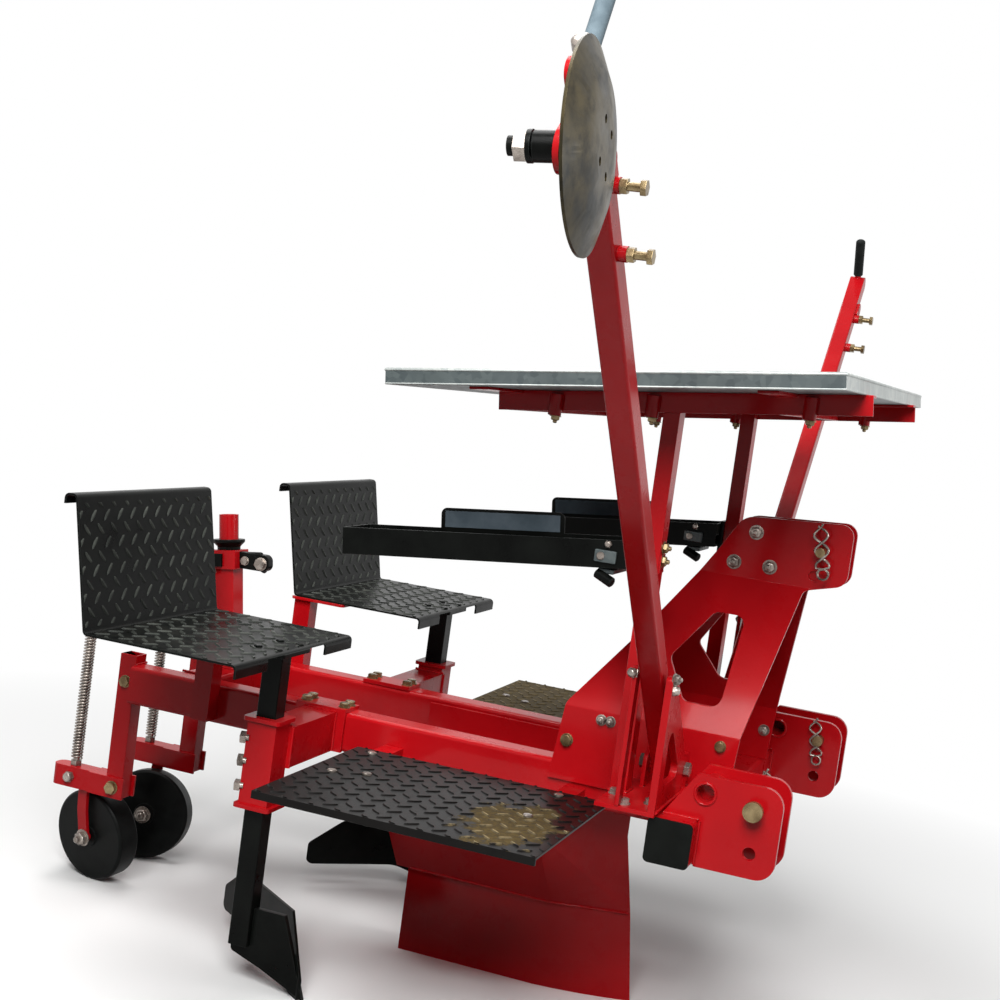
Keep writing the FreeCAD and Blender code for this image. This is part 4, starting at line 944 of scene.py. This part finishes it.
copied(hex_bolt, [facing(on_post(84, -11, 228), (0, -1, 0), 1.3, 15),
                  facing(on_post(45, -11, 234), (0, -1, 0), 0.9, 5)],
       "depth_lever_bolts", "bright_zinc")
copied(stud_nut, [facing(on_post(84, 11, 228), (0, 1, 0), 1.2),
                  facing(on_post(45, 11, 234), (0, 1, 0), 0.9)],
       "depth_lever_nuts", "bright_zinc")
copied(cap_nut, [facing(on_post(-31, -14, z), (-1, 0, 0), 0.9) for z in (222, 250)]
       + [facing(on_post(-22, -31, 210), (0, -1, 0), 0.9)],
       "depth_clamp_caps", "bright_zinc")
jaw = slab(40, 16, 30, 5.0)
jaw.data.transform(shift(0, 0, -15))
knuckle = turned_end(turned_end(barrel(20, 13, -10, 10), 3.0, 1.5, 10), 3.0, -1.5, -10)
knuckle.data.transform(pointing((0, 1, 0)))
heel = slab(34, 14, 22, 5.0)
heel.data.transform(Matrix.Rotation(math.radians(32), 4, "Y") @ shift(22, 0, -14))
for part in (jaw, knuckle, heel):
    part.data.transform(Matrix.Translation(at(*on_post(62, 0, 238)))
                        @ Matrix.Rotation(-DEPTH_LEAN, 4, "Y"))
fitted("depth_lever_jaw", [jaw, knuckle, heel], "black_enamel")

# ---- rolled hems of the table, in a paler zinc: a painted highlight along them
for name, level, radius in (("table_top_hem", 25.0, 3.2), ("table_foot_hem", 1.6, 2.0)):
    corners = [at(*on_table(x, y, level)) for x, y in
               ((-444, -609), (329, -609), (329, 609), (-444, 609))]
    hem = wire(name, corners, radius, closed=True)
    settle(smooth(hem, 50.0), "frame", "galvanised_sheet", PAINTED_HIGHLIGHT_ZINC)

# ---- clamps under the seedling trays
TRAY_TILT = math.radians(6.6)
parts, hooks = [], []
for side in (-1, 1):
    cheek = slab(40, 7, 22, 2.0)
    cheek.data.transform(Matrix.Translation(at(-192, side * TABLE_LEG_Y - 62.5, 914)))
    web = slab(30, 96, 9, 2.5)
    web.data.transform(Matrix.Translation(at(-192, side * TABLE_LEG_Y, 893)))
    hook = turned_end(turned_end(barrel(14, 9.5, 0, 34), 2.5, 2.0, 34), 2.5, -1.5, 0)
    hook.data.transform(facing((-208, side * TABLE_LEG_Y - 44, 892), (0.75, -0.2, -0.3)))
    parts += [cheek, web]
    hooks.append(hook)
fitted("tray_clamp_brackets", parts, "galvanised_sheet")
fitted("tray_clamp_hooks", hooks, "black_enamel")
# slate grey sheets on the guards that stand up from the trays: a painted reflection on their glossy
# black
reflection_sheets = []
for side in (-1, 1):
    sheet = slab(228, 31, 0.8, 0.3)
    sheet.data.transform(Matrix.Translation(at(-144, 0, 960)) @ Matrix.Rotation(-TRAY_TILT, 4, "Y")
                         @ shift(-287.5, side * TABLE_LEG_Y + 57, 17)
                         @ Matrix.Rotation(math.pi / 2, 4, "X"))
    reflection_sheets.append(sheet)
fitted("tray_guard_painted_reflections", reflection_sheets, "black_enamel", PAINTED_REFLECTION)
copied(button, [facing((-200, side * TABLE_LEG_Y - 66, 925), (0, -1, 0), 0.8) for side in (-1, 1)],
       "tray_clamp_bolts", "bright_zinc")

# ---- marker heads: end lugs on the tubes, a stop bolt at the disc
for side, name in SIDES:
    arm = arm_frame(side, "marker_swing_" + name)
    eye = turned_end(barrel(24, 15, 0, 6), 1.0, 0.8, 6)
    eye.data.transform(arm @ shift(20, 0, 1338) @ pointing((1, 0, 0)))
    web = slab(34, 29, 6, 1.0)
    web.data.transform(arm @ shift(20, 0, 1322) @ pointing((1, 0, 0)))
    lug = joined("marker_tube_lug_" + name, [eye, web])
    settle(smooth(lug, 40.0), "marker_" + name, "red_enamel")
collar = turned_end(barrel(16, 9.0, 0.0, 26.0), 1.5, 2.0, 26.0)
flare = turned_end(turned_end(barrel(20, 14.0, 24.0, 36.0), 3.0, 3.0, 36.0), 4.0, 1.0, 39.0)
stop = joined("disc_stop_bolt", [collar, flare])
stop.data.transform(arm_frame(-1, "marker_swing_right") @ shift(8, -12, 1479))
settle(smooth(stop, 40.0), "bar_right", "bright_zinc")

# ---- plugs in the open ends of the footplate bearers
plugs = []
for side in (-1, 1):
    for x in (-625, -245):
        plug = slab(39, 39, 5, 2.0)
        plug.data.transform(Matrix.Translation(at(x, side * 510.0, 435)) @ pointing((0, side, 0)))
        plugs.append(plug)
fitted("bearer_plugs", plugs, "black_plastic")

# ---- rear straps of the marker brackets, up to their lock nuts
straps = []
for side in (-1, 1):
    strap = slab(8, 26, 246, 1.5)
    strap.data.transform(Matrix.Translation(at(-96, side * (BRACKET_Y + 1), FOOT_TOP)))
    straps.append(strap)
fitted("marker_bracket_straps", straps, "red_enamel")

# ---- runs of weld, painted over: the corners of each on the left side, a bead's middle 1 mm proud
runs_on_tubes = [[(-38, 201), (46, 201)], [(-24, 406), (39, 406)], [(-24, 304), (39, 304)],
                 [(-41, 189), (-41, 131)], [(CROSS_X - 40, 129), (CROSS_X + 40, 129)],
                 [(SHANK_X - 35, 388.5), (SHANK_X + 35, 388.5)],
                 [(SHANK_X - 35, 199), (SHANK_X + 35, 199)], [(-1240, 129), (-1240, 171)]]
runs_on_feet = [[(-26.5, 455), (-26.5, 234)],
                [(-136.5, 323), (-105.5, 323), (-105.5, 365), (-136.5, 365), (-136.5, 323)]]
upright_runs = [(41, 406, 499, 422), (41, 304, 499, 422), (-41, 191, 500, 421),
                (SHANK_X + 36, 389, 499, 421), (SHANK_X + 36, 199, 499, 421),
                (-106, 331, 939, 906), (-106, 357, 939, 906)]
runs = [[(x, y, TUBE_TOP + 1) for x, y in run] for run in runs_on_tubes]
runs += [[(x, y, FOOT_TOP + 1) for x, y in run] for run in runs_on_feet]
runs += [[(x, y, high), (x, y, low)] for x, y, high, low in upright_runs]
# and where the shoe meets its mounts
runs.append([(-608, 50.5, 176), (-300, 50.5, 176), (-150, 4, 176)])
beads = [bead([(x, side * y, z) for x, y, z in run]) for run in runs for side in (-1, 1)]
beads.append(bead([(CROSS_X + x, y, TUBE_TOP + 1) for x, y in
                   ((-23.5, -23), (23.5, -23), (23.5, 23), (-23.5, 23), (-23.5, -23))]))
fitted("frame_weld_beads", beads, "red_enamel", degrees=60.0)

for piece in PATTERNS:
    bpy.data.objects.remove(piece)


# ---- studio
def softbox(name, place, target, size, power):
    bpy.ops.object.select_all(action="DESELECT")
    bpy.ops.object.light_add(type="AREA", location=place)
    lamp = bpy.context.object
    lamp.name = name
    lamp.data.shape = "SQUARE"
    lamp.data.size = size
    lamp.data.energy = power
    lamp.rotation_euler = (Vector(target) - Vector(place)).to_track_quat("-Z", "Y").to_euler()
    lamp.visible_camera = False


def seen_directly(material):
    """1 for rays that show the background itself: seen, mirrored or through something clear."""
    rays = add_node(material, "LightPath")
    first = add_node(material, "Math", {"operation": "ADD", "use_clamp": True}, {
        0: rays.outputs["Is Camera Ray"], 1: rays.outputs["Is Glossy Ray"]})
    return add_node(material, "Math", {"operation": "ADD", "use_clamp": True}, {
        0: first, 1: rays.outputs["Is Transmission Ray"]})


def floor_finish():
    """A matt studio floor.

    It is pale under the machine, white away from it, and darker to the light it throws back up.
    """
    material, place = new_material("matt_studio_floor")
    seen = seen_directly(material)
    paint = add_node(material, "Mix", {"data_type": "RGBA"}, {
        0: seen, 6: srgb("#727170"), 7: srgb("#f9f9f8")})
    matt = add_node(material, "BsdfDiffuse", {}, {"Color": paint.outputs[2]})
    white = add_node(material, "Emission", {}, {"Color": (1, 1, 1, 1), "Strength": 1.0})
    distance = add_node(material, "VectorMath", {"operation": "LENGTH"}, {0: place})
    fade = add_node(material, "MapRange", {}, {
        0: distance.outputs["Value"], 1: 1.2, 2: 2.6, 3: 0.0, 4: 1.0})
    share = add_node(material, "Math", {"operation": "MULTIPLY"}, {0: fade, 1: seen})
    shader = add_node(material, "MixShader", {}, {0: share, 1: matt, 2: white})
    return close_material(material, shader)


bpy.ops.object.select_all(action="DESELECT")
bpy.ops.mesh.primitive_plane_add(size=60.0, location=(0, 0, 0))
floor = bpy.context.object
floor.name = "studio_floor"
bpy.ops.object.mode_set(mode="EDIT")
bpy.ops.mesh.subdivide(number_cuts=3)
bpy.ops.object.mode_set(mode="OBJECT")
floor.data.materials.append(floor_finish())

world = bpy.data.worlds.new("studio_room")
scene.world = world
world.use_nodes = True
world.node_tree.nodes.clear()
shown = add_node(world, "Background", {}, {"Color": (1, 1, 1, 1), "Strength": 1.0})
room = add_node(world, "Background", {}, {"Color": srgb("#f2f4f6"), "Strength": 0.09})
both = add_node(world, "MixShader", {}, {0: seen_directly(world), 1: room, 2: shown})
add_node(world, "OutputWorld", {}, {0: both})

AMIDSHIPS = (-0.2, 0, 0.5)
softbox("near_softbox", (0.8, -3.3, 3.4), AMIDSHIPS, 2.2, 215.0)
softbox("overhead_softbox", (-0.9, -0.4, 4.6), AMIDSHIPS, 1.8, 80.0)
softbox("front_softbox", (4.2, 1.0, 1.9), (0, 0, 0.7), 1.2, 46.0)
softbox("far_softbox", (-1.4, 2.6, 4.4), AMIDSHIPS, 1.8, 45.0)

# The camera stands level with the table, right and ahead of the machine, a little rolled.
CAMERA_PLACE = (562.8, -3190.8, 1229.0)
CAMERA_YAW, CAMERA_PITCH, CAMERA_ROLL = 0.333, 0.080, 0.136
CAMERA_LENS = 59.35
bpy.ops.object.camera_add(location=at(*CAMERA_PLACE))
camera = bpy.context.object
camera.name = "studio_camera"
ahead = Vector((-math.sin(CAMERA_YAW) * math.cos(CAMERA_PITCH),
                math.cos(CAMERA_YAW) * math.cos(CAMERA_PITCH), -math.sin(CAMERA_PITCH)))
level = Vector((math.cos(CAMERA_YAW), math.sin(CAMERA_YAW), 0.0))
plumb = level.cross(ahead)
right = level * math.cos(CAMERA_ROLL) + plumb * math.sin(CAMERA_ROLL)
top = plumb * math.cos(CAMERA_ROLL) - level * math.sin(CAMERA_ROLL)
camera.rotation_euler = Matrix((right, top, -ahead)).transposed().to_euler()
camera.data.lens = CAMERA_LENS
camera.data.sensor_width = 36.0
camera.data.clip_end = 100.0
scene.camera = camera
scene.view_settings.view_transform = "Standard"
